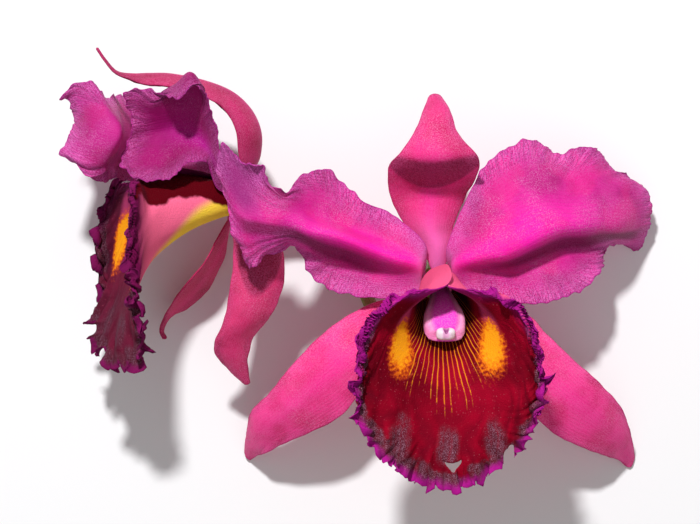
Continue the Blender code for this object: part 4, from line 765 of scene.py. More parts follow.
def petalFinish(name, look):
    material, wire, shader = newMaterial(name, look["roughness"], look["sheen"], look["sheenTint"])
    across, along = wire.bladeMap()
    depth = wire.mark("marginDepth")
    veins = wire.group(veinGroup, Count=look["veins"], Wander=0.5, Width=0.5, Seed=look["seed"])
    grain = wire.group(grainGroup, Scale=look["grainScale"], Contrast=0.6)
    creases = marginCreases(wire, look, along, depth)
    colour = petalColour(wire, look, across, along, veins)
    # painted shade along the creases near the margin
    colour = wire.mix(wire.times(creases, look["creaseShare"]), colour, look["rim"])
    colour = wire.mix(shadeAcross(wire, look, across, along), colour, look["shade"])
    # pale painted sparkle of the raised cells, thicker towards the margin
    edge = wire.times(wire.ramp(depth, look["edgeReach"], 0.0), look["edgeShare"])
    paintedFrostGlint = wire.times(wire.plus(edge, look["paintedFrostGlintShare"]), grain["Grain"])
    colour = wire.mix(paintedFrostGlint, colour, look["paintedFrostGlint"])
    rim = wire.times(wire.ramp(depth, *petalZones["rimDepth"]), look["rimShare"])
    colour = wire.mix(rim, colour, look["rim"])
    wire.feed(shader.inputs["Base Color"], colour)
    wire.feed(shader.inputs["Roughness"], wire.plus(wire.times(grain["Sparkle"], -0.22), look["roughness"]))
    relief = wire.times(veins["Ridge"], wire.ramp(depth, *petalZones["reliefDepth"]), look["veinRelief"])
    relief = wire.plus(relief, wire.times(grain["Grain"], look["grainRelief"]))
    wire.bump(shader, wire.minus(relief, wire.times(creases, look["creaseRelief"])), 0.001)
    return material


frillTree, stalkTree = makeFrillTree(), makeStalkTree()
print("node groups made:", len(bpy.data.node_groups))

blooms = {
    "front": (np.array(spray["frontHeart"]), frontAxes()),
    "side": (np.array(spray["sideHeart"]), sideAxes()),
}

petalLook = {
    "roughness": 0.52, "sheen": 0.04, "sheenTint": (1.0, 0.45, 0.9),
    "body": (0.66, 0.016, 0.27), "deep": (0.42, 0.003, 0.155), "hot": (0.97, 0.001, 0.41),
    "claw": (1.0, 0.50, 0.92), "clawLength": 0.21, "midrib": 0.5, "midribWidth": 0.30,
    "paintedFrostGlint": (0.76, 0.19, 0.58), "paintedFrostGlintShare": 0.14, "edgeReach": 12.0, "edgeShare": 0.60,
    "rim": (0.44, 0.015, 0.26), "rimShare": 0.5, "seed": 1.0,
    "veins": 42.0, "veinShare": 0.22, "veinRelief": 0.08, "grainRelief": 0.06, "grainScale": 2900.0,
    "creaseReach": 11.0, "creaseShare": 0.55, "creaseRelief": 0.22,
    "shadeBand": (0.4, 0.6), "shadeBow": 0.0, "shadeShare": 0.0, "shade": (0.10, 0.001, 0.03),
    "blotch": (0.80, 0.010, 0.20), "blotchShare": 0.35, "paintedGlints": (0.72, 0.26, 0.52), "paintedGlintsShare": 0.42,
    "paintedRidgeShade": (0.11, 0.0004, 0.024), "paintedRidgeShadeShare": 0.85, "tip": (0.27, 0.02, 0.17), "tipShare": 0.0,
}
sepalLook = {
    **petalLook,
    "body": (0.76, 0.022, 0.20), "deep": (0.52, 0.006, 0.09), "hot": (0.82, 0.018, 0.26),
    "claw": (0.96, 0.45, 0.80), "clawLength": 0.26, "midribWidth": 0.22,
    "paintedFrostGlint": (0.88, 0.15, 0.42), "paintedFrostGlintShare": 0.30, "edgeReach": 5.0, "edgeShare": 0.25,
    "rim": (0.34, 0.006, 0.07), "rimShare": 0.35, "seed": 4.0,
    "veins": 22.0, "veinShare": 0.25, "veinRelief": 0.07,
    "creaseReach": 5.0, "creaseShare": 0.2, "creaseRelief": 0.05, "shade": (0.12, 0.0005, 0.012),
    "blotch": (0.86, 0.010, 0.22), "blotchShare": 0.2, "paintedGlints": (0.85, 0.30, 0.50), "paintedGlintsShare": 0.35,
    "paintedRidgeShadeShare": 0.0,
}
skins = {
    "frontRightPetalSkin": petalLook,
    "frontLeftPetalSkin": {**petalLook, "tipShare": 0.75, "seed": 2.0},
    # the side bloom's near petal: its claw colour is painted shade, and its body is kept darker partly as
    # painted shade
    "sideNearPetalSkin": {
        **petalLook, "body": (0.34, 0.004, 0.13), "deep": (0.24, 0.002, 0.08), "hot": (0.40, 0.002, 0.22),
        "claw": (0.07, 0.001, 0.025), "clawLength": 0.34, "paintedFrostGlint": (0.62, 0.14, 0.46), "paintedFrostGlintShare": 0.05,
        "edgeReach": 9.0, "paintedRidgeShadeShare": 0.0, "blotchShare": 0.0, "paintedGlintsShare": 0.2, "seed": 3.0,
    },
    "sideFarPetalSkin": {
        **petalLook, "body": (0.50, 0.012, 0.21), "deep": (0.36, 0.005, 0.13), "hot": (0.58, 0.012, 0.22),
        "blotch": (0.5, 0.006, 0.12), "paintedRidgeShadeShare": 0.0, "seed": 5.0,
    },
    "frontDorsalSkin": {
        **sepalLook, "claw": (0.95, 0.20, 0.62), "clawLength": 0.42,
        "shadeBand": (0.505, 0.715), "shadeShare": 0.75, "seed": 6.0,
    },
    "frontSepalSkin": {
        **sepalLook, "body": (0.96, 0.04, 0.29), "deep": (0.66, 0.01, 0.13), "hot": (0.98, 0.03, 0.32),
        "paintedFrostGlint": (1.0, 0.2, 0.5),
    },
    "sideSepalSkin": {
        **sepalLook, "body": (0.56, 0.010, 0.10), "deep": (0.34, 0.003, 0.04), "hot": (0.62, 0.010, 0.14),
        "claw": (0.7, 0.06, 0.28), "paintedFrostGlint": (0.78, 0.12, 0.30),
    },
    "sideDorsalSkin": {
        **sepalLook, "body": (0.44, 0.008, 0.09), "deep": (0.26, 0.003, 0.04), "hot": (0.52, 0.010, 0.15),
        "claw": (0.7, 0.06, 0.28), "paintedFrostGlint": (0.66, 0.10, 0.26), "paintedGlintsShare": 0.2, "seed": 8.0,
    },
    "nearSepalSkin": {
        **sepalLook, "body": (0.74, 0.035, 0.16), "deep": (0.44, 0.006, 0.06), "hot": (0.70, 0.02, 0.14),
        "shadeBand": (-0.2, 0.52), "shadeBow": 0.8, "shadeShare": 0.72, "seed": 7.0,
    },
}

# What each blade is cut to: the rows and columns of its skin, its thickness at margin and midrib, its frills.
sepalCut = {
    "rows": 130, "columns": 41, "packed": (0.9, 1.6), "thickness": (0.5, 1.5), "lift": 0.2,
    "ruffle": (0, 0, 0), "slot": "sepal",
    "frill": {
        "Frill Height": 0.25, "Frill Length": 9.0, "Frill Reach": 3.0,
        "Crease Height": 0.06, "Crease Length": 2.2, "Crease Reach": 2.0,
        "Tooth Height": 0.15, "Tooth Length": 5.0, "Tooth Reach": 1.5,
    },
}
petalCut = {
    "rows": 170, "columns": 91, "packed": (0.7, 1.4), "thickness": (0.38, 1.2), "lift": 1.2, "slot": "petal",
    "frill": {
        "Frill Height": 0.8, "Frill Length": 5.5, "Frill Reach": 4.5,
        "Crease Height": 0.42, "Crease Length": 1.9, "Crease Reach": 3.2,
        "Tooth Height": 0.7, "Tooth Length": 4.0, "Tooth Reach": 2.0,
    },
}
blades = {
    "frontDorsalSepal": {
        **sepalCut, "net": frontDorsalNet, "bloom": "front", "angle": 90.0, "node": "front_dorsal_sepal",
        "skin": "frontDorsalSkin", "seed": 1,
    },
    "frontRightSepal": {
        **sepalCut, "net": frontRightSepalNet, "bloom": "front", "angle": -30.0, "node": "front_right_sepal",
        "skin": "frontSepalSkin", "seed": 2,
    },
    "frontLeftSepal": {
        **sepalCut, "net": frontLeftSepalNet, "bloom": "front", "angle": 210.0, "node": "front_left_sepal",
        "skin": "frontSepalSkin", "seed": 3,
    },
    "sideDorsalSepal": {
        **sepalCut, "net": sideDorsalNet, "bloom": "side", "angle": 90.0, "node": "side_dorsal_sepal",
        "skin": "sideDorsalSkin", "seed": 4,
    },
    "sideNearSepal": {
        **sepalCut, "net": sideNearSepalNet, "bloom": "side", "angle": -30.0, "node": "side_near_sepal",
        "skin": "nearSepalSkin", "seed": 5,
    },
    "sideFarSepal": {
        **sepalCut, "net": sideFarSepalNet, "bloom": "side", "angle": 210.0, "node": "side_far_sepal",
        "skin": "sideSepalSkin", "seed": 6,
    },
    "frontRightPetal": {
        **petalCut, "net": frontRightPetalNet, "bloom": "front", "angle": 30.0, "node": "front_right_petal",
        "skin": "frontRightPetalSkin", "seed": 7, "ruffle": (1.2, 5.0, 0.5),
    },
    "frontLeftPetal": {
        **petalCut, "net": frontLeftPetalNet, "bloom": "front", "angle": 150.0, "node": "front_left_petal",
        "skin": "frontLeftPetalSkin", "seed": 8, "ruffle": (0.9, 5.0, 1.0),
    },
    "sideNearPetal": {
        **petalCut, "net": sideNearPetalNet, "bloom": "side", "angle": 30.0, "node": "side_near_petal",
        "skin": "sideNearPetalSkin", "seed": 9, "ruffle": (0.7, 5.0, 0.0),
    },
    "sideFarPetal": {
        **petalCut, "net": sideFarPetalNet, "bloom": "side", "angle": 150.0, "node": "side_far_petal",
        "skin": "sideFarPetalSkin", "seed": 10, "ruffle": (0.7, 5.0, 2.0),
    },
}


def bladeSheet(net, heart, axes, cut):
    placed = asDrawn(np.array(net) + (heart[0], heart[1], 0.0))
    edge, midrib = cut["packed"]
    rows = []
    for radius, height in ((spray["clawStart"], 0.0), (spray["clawEnd"], cut["lift"])):
        row = []
        for turn in np.linspace(1, -1, placed.shape[1]) * spray["clawHalfAngle"]:
            angle = math.radians(cut["angle"] + turn)
            lifted = spray["seatGap"] + midrib / 2 + height
            row.append(inBloom(heart, axes, radius * math.cos(angle), radius * math.sin(angle), lifted))
        rows.append(row)
    claw = np.array(rows)
    if np.linalg.norm(claw[1, 0] - placed[0, 0]) > np.linalg.norm(claw[1, -1] - placed[0, 0]):
        claw = claw[:, ::-1]
    along, across = np.linspace(0, 1, cut["rows"]), np.linspace(0, 1, cut["columns"])
    sheet = smoothCurve(np.concatenate([claw, placed]), along)
    sheet = np.swapaxes(smoothCurve(np.swapaxes(sheet, 0, 1), across), 0, 1)
    sideways = (2 * across - 1)[None, :]
    height, waves, phase = cut["ruffle"]
    swell = np.sin(math.tau * waves * along + phase)[:, None] * along[:, None] ** 0.6
    swell = swell * height * np.abs(sideways) ** 2.5 * np.where(sideways < 0, 1.0, -0.8)
    sheet = sheet + sheetNormals(sheet) * swell[..., None]
    # eased up where it would sink into the table
    packed = edge + (midrib - edge) * (1 - sideways**2) * (1 - 0.6 * along[:, None])
    over = (sheet[..., 2] - packed / 2) / spray["tableEase"]
    eased = np.where(over > 30, over, np.log1p(np.exp(np.minimum(over, 30))))
    sheet[..., 2] = packed / 2 + spray["tableEase"] * eased
    return sheet, along, 2 * across - 1


def makeBlade(name, cut, finish):
    heart, axes = blooms[cut["bloom"]]
    sheet, along, sideways = bladeSheet(cut["net"], heart, axes, cut)
    edge, midrib = cut["thickness"]
    thickness = edge + (midrib - edge) * (1 - np.abs(sideways[None, :]) ** 3) * (1 - 0.6 * along[:, None])
    share = smoothStep((along - 0.16) / 0.3)[:, None] + 0 * thickness
    mesh = closedBlade(name, sheet, thickness, along, sideways, 0.45, share)
    grown = grownMesh(name, mesh, frillTree, {**cut["frill"], "Seed": float(cut["seed"]), "Finish": finish})
    bpy.data.meshes.remove(mesh)
    return addPiece(name, grown, cut["node"])


finishes = {skinName: petalFinish(skinName, skinLook) for skinName, skinLook in skins.items()}
for bladeName, bladeCut in blades.items():
    makeBlade(bladeName, bladeCut, finishes[bladeCut["skin"]])
print("petals and sepals grown")

# The lip in its bloom's frame: right, up and forward. Rows run from the claw to the frilled margin, and each
# crosses half the lip, from its keel round to its free edge. The other half mirrors it.
lipNet = (
    ((0.0, -4.8, 0.33), (3.4, -3.5, 3.4), (4.8, 0.0, 4.4), (3.7, 3.4, 4.4), (0.7, 4.8, 4.4)),
    ((0.0, -5.5, 8.0), (4.9, -3.4, 8.3), (6.0, 1.4, 8.5), (4.4, 6.0, 8.5), (0.7, 7.6, 8.5)),
    ((0.0, -7.6, 17.5), (6.2, -4.6, 18.0), (7.9, 2.0, 18.5), (5.0, 7.4, 18.5), (0.7, 11.2, 18.0)),
    ((0.0, -11.5, 26.5), (8.6, -7.5, 27.0), (10.8, 1.2, 27.0), (6.8, 7.4, 26.7), (0.7, 12.4, 26.3)),
    ((0.0, -17.0, 34.5), (12.3, -12.0, 34.3), (15.4, -1.4, 33.0), (9.6, 6.0, 32.3), (1.0, 11.0, 32.0)),
    ((0.0, -27.5, 42.5), (17.3, -21.0, 41.5), (21.7, -7.0, 38.5), (16.3, 6.2, 35.5), (6.3, 10.8, 34.0)),
    ((0.0, -39.0, 47.5), (20.0, -30.5, 46.0), (26.5, -13.8, 43.0), (21.3, 4.6, 39.0), (11.3, 11.2, 36.0)),
    ((0.0, -49.5, 50.0), (21.0, -39.0, 48.5), (29.0, -19.5, 46.5), (25.6, 1.8, 42.0), (15.5, 11.0, 38.3)),
)
lipShape = {
    "overlap": 1.9,  # how far the two free edges cross above the column
    "overlapRise": 1.6,
    "frills": 19, "frillHeight": 1.35,
    "folds": 6, "foldHeight": 1.2,
    "rows": 120, "columns": 381,
    "thickness": (0.35, 0.8),
}
lips = {
    "frontLip": {
        "bloom": "front", "scale": 1.05, "phase": 0.6, "twist": 0.0, "node": "front_lip", "seed": 3.0,
        "cutOuts": ((0.023, 0.874, 0.040, 0.012, 0.046), (0.264, 0.925, 0.026, 0.0, 9.0)),
        "frill": {
            "Frill Height": 2.0, "Frill Length": 4.2, "Frill Reach": 5.0,
            "Crease Height": 1.7, "Crease Length": 2.2, "Crease Reach": 3.0,
            "Tooth Height": 1.5, "Tooth Length": 2.4, "Tooth Reach": 3.6,
        },
    },
    "sideLip": {
        "bloom": "side", "scale": 1.0, "phase": 2.1, "twist": 20.0, "node": "side_lip", "seed": 8.0,
        "cutOuts": (),
        "frill": {
            "Frill Height": 2.8, "Frill Length": 5.0, "Frill Reach": 4.0,
            "Crease Height": 1.9, "Crease Length": 2.2, "Crease Reach": 2.8,
            "Tooth Height": 2.7, "Tooth Length": 4.4, "Tooth Reach": 4.0,
        },
    },
}
lipTwist = {"from": -24.0, "to": -46.0, "axis": 43.0}  # the side lip's end turns up to the eye


def lipRow(place, sides):
    row = smoothCurve(np.array(lipNet), [place])[0]
    whole = np.concatenate([row[:0:-1] * (-1.0, 1.0, 1.0), row])
    return smoothCurve(whole, (np.asarray(sides) + 1) / 2)


def evenlyRound(lengths):
    sides = np.linspace(-1, 1, 401)
    steps = np.linalg.norm(np.diff(lipRow(1.0, sides), axis=0), axis=1)
    along = np.concatenate([[0.0], np.cumsum(steps)])
    return np.interp(lengths, 2 * along / along[-1] - 1, sides)


def overlapped(points, place, sides):
    # in the tube the two free edges overlap above the column
    free = np.abs(sides)
    overlap = smoothStep((place - 0.04) / 0.14) * (1 - smoothStep((place - 0.46) / 0.17))
    raised = smoothStep(place / 0.06) * (1 - smoothStep((place - 0.46) / 0.2))
    points[:, 0] -= np.sign(sides) * smoothStep((free - 0.84) / 0.16) * lipShape["overlap"] * overlap
    rise = np.where(sides < 0, smoothStep((free - 0.74) / 0.26), 0.0)
    points[:, 1] += rise * lipShape["overlapRise"] * raised
    return points


def twisted(points, twist):
    right, ahead = points[:, 0].copy(), points[:, 2] - lipTwist["axis"]
    share = smoothStep((points[:, 1] - lipTwist["from"]) / (lipTwist["to"] - lipTwist["from"]))
    angle = np.radians(twist) * share
    points[:, 0] = right * np.cos(angle) + ahead * np.sin(angle)
    points[:, 2] = lipTwist["axis"] + ahead * np.cos(angle) - right * np.sin(angle)
    return points


def lipLine(place, lengths, cut):
    sides = evenlyRound(lengths)
    on = lipRow(min(place + 0.01, 1.0), sides) - lipRow(max(place - 0.01, 0.0), sides)
    aside = lipRow(place, np.minimum(sides + 0.01, 1)) - lipRow(place, np.maximum(sides - 0.01, -1))
    inward = unit(np.cross(on, aside))
    points = overlapped(lipRow(place, sides), place, sides)
    # broad folds and close frills grow towards the margin
    turn, free = math.pi * lengths, np.abs(lengths)
    openEdge = smoothStep((place - 0.6) / 0.4)
    corner = 0.25 * smoothStep((1 - free) / 0.06) + 0.75 * smoothStep((0.82 - free) / 0.4)
    fold = lipShape["foldHeight"] * openEdge * np.sin(lipShape["folds"] * turn + cut["phase"])
    wave = np.sin(lipShape["frills"] * turn + 1.2 * np.sin(3 * turn + cut["phase"]))
    points += inward * ((fold + lipShape["frillHeight"] * openEdge**2 * wave) * corner)[:, None]
    return twisted(points, cut["twist"]) * cut["scale"]


def makeLip(name, cut, finish):
    heart, axes = blooms[cut["bloom"]]
    lengths = np.linspace(-1, 1, lipShape["columns"])
    places = np.linspace(0, 1, lipShape["rows"]) ** 0.85
    sheet = heart + np.array([lipLine(place, lengths, cut) for place in places]) @ axes
    edge, keel = lipShape["thickness"]
    thinned = smoothStep((places - 0.75) / 0.25)[:, None]
    thickness = np.full((len(places), len(lengths)), keel) - (keel - edge) * thinned
    cornerFree = smoothStep((1 - np.abs(lengths)) / 0.12)[None, :]
    cornerFree = np.maximum(cornerFree, smoothStep((places - 0.72) / 0.14)[:, None])
    share = smoothStep((places - 0.5) / 0.35)[:, None] * (0.25 + 0.75 * cornerFree)
    mesh = closedBlade(name, sheet, thickness, places, lengths, 0.6, share, cut["cutOuts"])
    grown = grownMesh(name, mesh, frillTree, {**cut["frill"], "Seed": cut["seed"], "Finish": finish})
    bpy.data.meshes.remove(mesh)
    return addPiece(name, grown, cut["node"])


lipLook = {
    "crimson": (0.150, 0.0006, 0.008), "bright": (0.33, 0.0012, 0.018), "paintedThroatShade": (0.030, 0.0003, 0.002),
    "velvet": (0.060, 0.002, 0.010),
    "keelShare": 0.8, "foldShare": 0.45, "creaseShare": 0.6, "patchShare": 0.85,
    "band": (0.50, 0.05, 0.17), "bandShare": 0.9, "veins": 56.0,
    "gold": (0.97, 0.36, 0.010), "orange": (0.78, 0.10, 0.006),
    "eyeAcross": 0.205, "eyeAlong": 0.562, "eyeWide": 0.080, "eyeLong": 0.082, "eyeSlant": 0.25,
    "paintedFrostGlint": (0.33, 0.15, 0.22), "paintedFrostGlintAmount": 0.85, "paintedFleckGlint": (0.70, 0.16, 0.22), "paintedFleckGlintShare": 0.35,
    "rim": (0.42, 0.010, 0.25), "rimReach": 4.2,
    "outside": (0.93, 0.10, 0.22), "outsideDeep": (0.50, 0.006, 0.060), "upperOutsideTintAndPaintedShade": (0.82, 0.10, 0.24),
    "outsideGrain": 0.10, "yellow": (1.0, 0.70, 0.06),
}
# the side lip: near the tube's free edges its outside takes painted shade, the shadow of the petals above it
sideLipLook = {
    **lipLook, "crimson": (0.085, 0.010, 0.028), "bright": (0.15, 0.010, 0.035),
    "paintedFrostGlint": (0.28, 0.14, 0.21), "paintedFrostGlintAmount": 0.6, "rim": (0.19, 0.008, 0.085), "rimReach": 2.6,
    "outside": (1.0, 0.16, 0.31), "outsideDeep": (0.13, 0.004, 0.05), "upperOutsideTintAndPaintedShade": (0.10, 0.001, 0.005),
    "eyeAcross": 0.262, "eyeAlong": 0.675, "eyeWide": 0.080, "eyeLong": 0.078,
}
# Where the markings, the painted shade and the painted glints of a lip lie. Half is 0 on the keel and 0.5 at
# a free edge, and along is 1 at the margin.
lipZones = {
    "mottle": (70.0, 0.35, 0.7), "keelHalf": (0.13, 0.0), "keelAlong": (0.62, 0.8), "foldAlong": (0.6, 0.9),
    "creaseDepth": (9.0, 1.0), "creaseAlong": (0.6, 0.75),
    "ridgeHalf": (0.21, 0.27), "ridgeSlope": 0.8, "bandAlong": (0.10, 0.03), "bandHalf": (0.22, 0.28),
    "throatAlong": (-0.13, -0.24), "throatHalf": (0.08, 0.22, 0.5, 1.0),
    "lineEnd": (0.0, 0.06, 0.715, 0.650), "lineEndAside": (0.06, 0.17, 0.0, -0.055), "lineHalf": (0.25, 0.21),
    "lineFade": (0.0, 0.06), "lineStrength": (0.15, 0.5, 0.45, 1.0), "lineGold": (0.2, 0.8),
    "lineGaps": (700.0, 0.42, 0.54, 2.0), "lineWhole": (0.03, 0.11),
    "eyeOrange": (1.35, 0.7), "eyeGold": (1.1, 0.5), "eyeGrain": 900.0,
    "middlePatch": (0.004, 0.832, 0.019, 0.068), "middleFade": (1.4, 0.5),
    "asidePatch": (0.105, 0.765, 0.023, 0.085), "asideFade": (1.45, 0.5), "patchGrain": 190.0,
    "marginDepth": (13.0, 1.0, -0.40, 0.16), "marginPatch": (0.50, 0.64), "marginAlong": (0.62, 0.74),
    "patchPleat": (1.0, 0.0, 0.65, 1.0), "patchCloud": (0.35, 0.55, 0.55, 1.0), "glint": (0.52, 0.82),
    "paintedFleckGlint": (2300.0, 0.77, 0.84, 0.0),
    "shoulderHalf": (0.33, 0.43), "shoulderDepth": (12.0, 1.5), "shoulderCloud": (0.3, 0.6, 0.4, 0.9),
    "outsideDeep": (0.55, 0.85), "yellowHalf": (0.1, 0.5, 0.29, 0.11), "yellowAlong": (0.66, 0.40),
    "yellowFade": (0.02, -0.07), "shadeEdge": (0.10, 0.28, 0.20, 0.30), "shadeLift": (0.48, 0.75, 0.0, 0.12),
    "shadeFade": (-0.012, 0.018), "rimAlong": (0.66, 0.78),
    "wrinkleAlong": (0.55, 0.8), "pleatDepth": (10.0, 1.0),
}


def unevenly(wire, scale, height, detail=3.0):
    return wire.times(wire.minus(wire.mottle(scale, detail), 0.5), height)


def awayFrom(wire, x, y, spot, grain):
    # 0 in the middle of an oval and 1 on its edge, which is broken by noise
    atX, atY, wide, long = spot
    x = wire.work("DIVIDE", wire.minus(x, atX), wide)
    y = wire.work("DIVIDE", wire.minus(y, atY), long)
    away = wire.work("SQRT", wire.plus(wire.times(x, x), wire.times(y, y)))
    return wire.plus(away, unevenly(wire, grain, 1.1, 2.0))


def lipVelvet(wire, look, half, along, depth, fold, pleat):
    # bright on the keel, deep in folds and creases, pale over the tube's rim and painted shade in the throat
    inside = wire.mix(wire.cloud(*lipZones["mottle"]), look["crimson"], look["bright"])
    keel = wire.times(wire.ramp(half, *lipZones["keelHalf"]), wire.ramp(along, *lipZones["keelAlong"]))
    inside = wire.mix(wire.times(keel, look["keelShare"]), inside, look["bright"])
    folds = wire.times(fold["Veins"], wire.ramp(along, *lipZones["foldAlong"]), look["foldShare"])
    inside = wire.mix(folds, inside, look["velvet"])
    creases = wire.times(pleat["Veins"], wire.ramp(depth, *lipZones["creaseDepth"]), look["creaseShare"])
    creases = wire.times(creases, wire.ramp(along, *lipZones["creaseAlong"]))
    inside = wire.mix(creases, inside, look["velvet"])
    ridgeHalf, ridgeEnd = lipZones["ridgeHalf"]
    ridge = wire.times(wire.minus(ridgeHalf, wire.work("MINIMUM", half, ridgeEnd)), lipZones["ridgeSlope"])
    past = wire.minus(along, wire.plus(ridge, look["eyeAlong"]))
    band = wire.times(wire.ramp(wire.work("ABSOLUTE", past), *lipZones["bandAlong"]), look["bandShare"])
    inside = wire.mix(wire.times(band, wire.ramp(half, *lipZones["bandHalf"])), inside, look["band"])
    # painted shade deep in the throat, behind the ridge
    throat = wire.times(wire.ramp(past, *lipZones["throatAlong"]), wire.ramp(half, *lipZones["throatHalf"]))
    return wire.mix(throat, inside, look["paintedThroatShade"])


def goldLines(wire, look, inside, half, along):
    # lines that fan out of the throat, each as long and as bright as its chance
    veins = wire.group(veinGroup, Count=look["veins"], Wander=0.30, Width=0.36, Seed=3.0)
    end = wire.plus(wire.ramp(half, *lipZones["lineEnd"]), wire.ramp(half, *lipZones["lineEndAside"]))
    end = wire.plus(end, wire.times(wire.minus(veins["Chance"], 0.5), 0.15))
    left = wire.minus(end, along)
    whole = wire.work("MAXIMUM", wire.cloud(*lipZones["lineGaps"]), wire.ramp(left, *lipZones["lineWhole"]))
    strength = wire.ramp(veins["Chance"], *lipZones["lineStrength"])
    lines = wire.times(veins["Veins"], wire.ramp(left, *lipZones["lineFade"]), strength, whole)
    lines = wire.times(lines, wire.ramp(half, *lipZones["lineHalf"]))
    gilt = wire.mix(wire.ramp(veins["Chance"], *lipZones["lineGold"]), look["orange"], look["gold"])
    return wire.mix(lines, inside, gilt)


def goldenEyes(wire, look, inside, half, along):
    slanted = wire.plus(along, wire.times(wire.minus(half, look["eyeAcross"]), look["eyeSlant"]))
    spot = (look["eyeAcross"], look["eyeAlong"], look["eyeWide"], look["eyeLong"])
    away = awayFrom(wire, half, slanted, spot, lipZones["eyeGrain"])
    inside = wire.mix(wire.ramp(away, *lipZones["eyeOrange"]), inside, look["orange"])
    return wire.mix(wire.ramp(away, *lipZones["eyeGold"]), inside, look["gold"])


def frostedPatches(wire, look, inside, half, along, depth, pleat):
    # mauve velvet where the blade folds and along its margin, with painted glints of pale cells
    cloud = wire.mottle(150.0)
    middle = awayFrom(wire, half, along, lipZones["middlePatch"], lipZones["patchGrain"])
    slanted = wire.plus(along, wire.times(half, -0.9))
    aside = awayFrom(wire, half, slanted, lipZones["asidePatch"], lipZones["patchGrain"])
    margin = wire.plus(wire.times(wire.mottle(85.0, 1.0), 0.6), wire.times(cloud, 0.7))
    margin = wire.plus(margin, wire.ramp(depth, *lipZones["marginDepth"]))
    margin = wire.ramp(margin, *lipZones["marginPatch"])
    margin = wire.times(margin, wire.ramp(along, *lipZones["marginAlong"]))
    middle, aside = wire.ramp(middle, *lipZones["middleFade"]), wire.ramp(aside, *lipZones["asideFade"])
    patches = wire.work("MAXIMUM", wire.work("MAXIMUM", middle, aside), margin)
    patches = wire.times(patches, wire.ramp(pleat["Veins"], *lipZones["patchPleat"]))
    patches = wire.times(patches, wire.ramp(cloud, *lipZones["patchCloud"]))
    inside = wire.mix(wire.times(patches, look["patchShare"]), inside, look["velvet"])
    fine = wire.group(grainGroup, Scale=3900.0, Contrast=0.8)
    glint = wire.plus(wire.times(wire.ramp(fine["Grain"], *lipZones["glint"]), 0.9), 0.07)
    inside = wire.mix(wire.times(patches, glint, look["paintedFrostGlintAmount"]), inside, look["paintedFrostGlint"])
    # sparse pale flecks: painted glints
    inside = wire.mix(wire.times(wire.cloud(*lipZones["paintedFleckGlint"]), look["paintedFleckGlintShare"]), inside, look["paintedFleckGlint"])
    shoulder = wire.ramp(half, *lipZones["shoulderHalf"])
    shoulder = wire.times(shoulder, wire.ramp(depth, *lipZones["shoulderDepth"]))
    shoulder = wire.times(shoulder, wire.ramp(cloud, *lipZones["shoulderCloud"]))
    return wire.mix(shoulder, inside, look["rim"])


def lipOutside(wire, look, half, along, grain):
    # pink, yellow under the base, deep towards the margin; near the free edges painted petal shadow on the
    # side lip and a roof pink on the front lip
    outside = wire.mix(wire.ramp(along, *lipZones["outsideDeep"]), look["outside"], look["outsideDeep"])
    outside = wire.mix(wire.times(grain["Grain"], look["outsideGrain"]), outside, look["outsideDeep"])
    base = wire.ramp(wire.minus(half, wire.ramp(along, *lipZones["yellowHalf"])), *lipZones["yellowFade"])
    outside = wire.mix(wire.times(base, wire.ramp(along, *lipZones["yellowAlong"])), outside, look["yellow"])
    edge = wire.plus(wire.ramp(along, *lipZones["shadeEdge"]), wire.ramp(along, *lipZones["shadeLift"]))
    edge = wire.plus(edge, unevenly(wire, 160.0, 0.10))
    return wire.mix(wire.ramp(wire.minus(half, edge), *lipZones["shadeFade"]), outside, look["upperOutsideTintAndPaintedShade"])


def lipFinish(name, look):
    material, wire, shader = newMaterial(name, 0.62, 0.02, (0.9, 0.3, 0.6), 0.0, 0.025)
    across, along = wire.bladeMap()
    half = wire.between(across, 0.5)
    depth, skin = wire.mark("marginDepth"), wire.mark("skin")
    grain = wire.group(grainGroup, Scale=2400.0, Contrast=0.55)
    fold = wire.group(veinGroup, Count=21.0, Wander=1.0, Width=0.9, Seed=9.0)
    pleat = wire.group(veinGroup, Count=64.0, Wander=0.8, Width=0.55, Seed=14.0)
    inside = lipVelvet(wire, look, half, along, depth, fold, pleat)
    inside = goldLines(wire, look, inside, half, along)
    inside = goldenEyes(wire, look, inside, half, along)
    inside = frostedPatches(wire, look, inside, half, along, depth, pleat)
    colour = wire.mix(wire.ramp(skin, -0.3, 0.3), lipOutside(wire, look, half, along, grain), inside)
    rim = wire.ramp(wire.plus(depth, unevenly(wire, 420.0, 3.0)), look["rimReach"], 0.6)
    colour = wire.mix(wire.times(rim, wire.ramp(along, *lipZones["rimAlong"])), colour, look["rim"])
    wire.feed(shader.inputs["Base Color"], colour)
    wire.feed(shader.inputs["Roughness"], wire.plus(wire.times(grain["Sparkle"], -0.25), 0.66))
    pleats = wire.times(pleat["Ridge"], 0.22, wire.ramp(depth, *lipZones["pleatDepth"]))
    wrinkle = wire.plus(wire.times(fold["Ridge"], 0.30), pleats)
    wrinkle = wire.times(wrinkle, wire.ramp(along, *lipZones["wrinkleAlong"]))
    wrinkle = wire.times(wrinkle, wire.ramp(skin, -0.3, 0.3, 0.3, 1.0))
    wire.bump(shader, wire.plus(wrinkle, wire.times(grain["Grain"], 0.10)), 0.001)
    return material


for lipName, lipCut in lips.items():
    velvet = lipFinish(lipName + "Velvet", sideLipLook if lipCut["bloom"] == "side" else lipLook)
    makeLip(lipName, lipCut, velvet)
print("lips rolled and frilled")

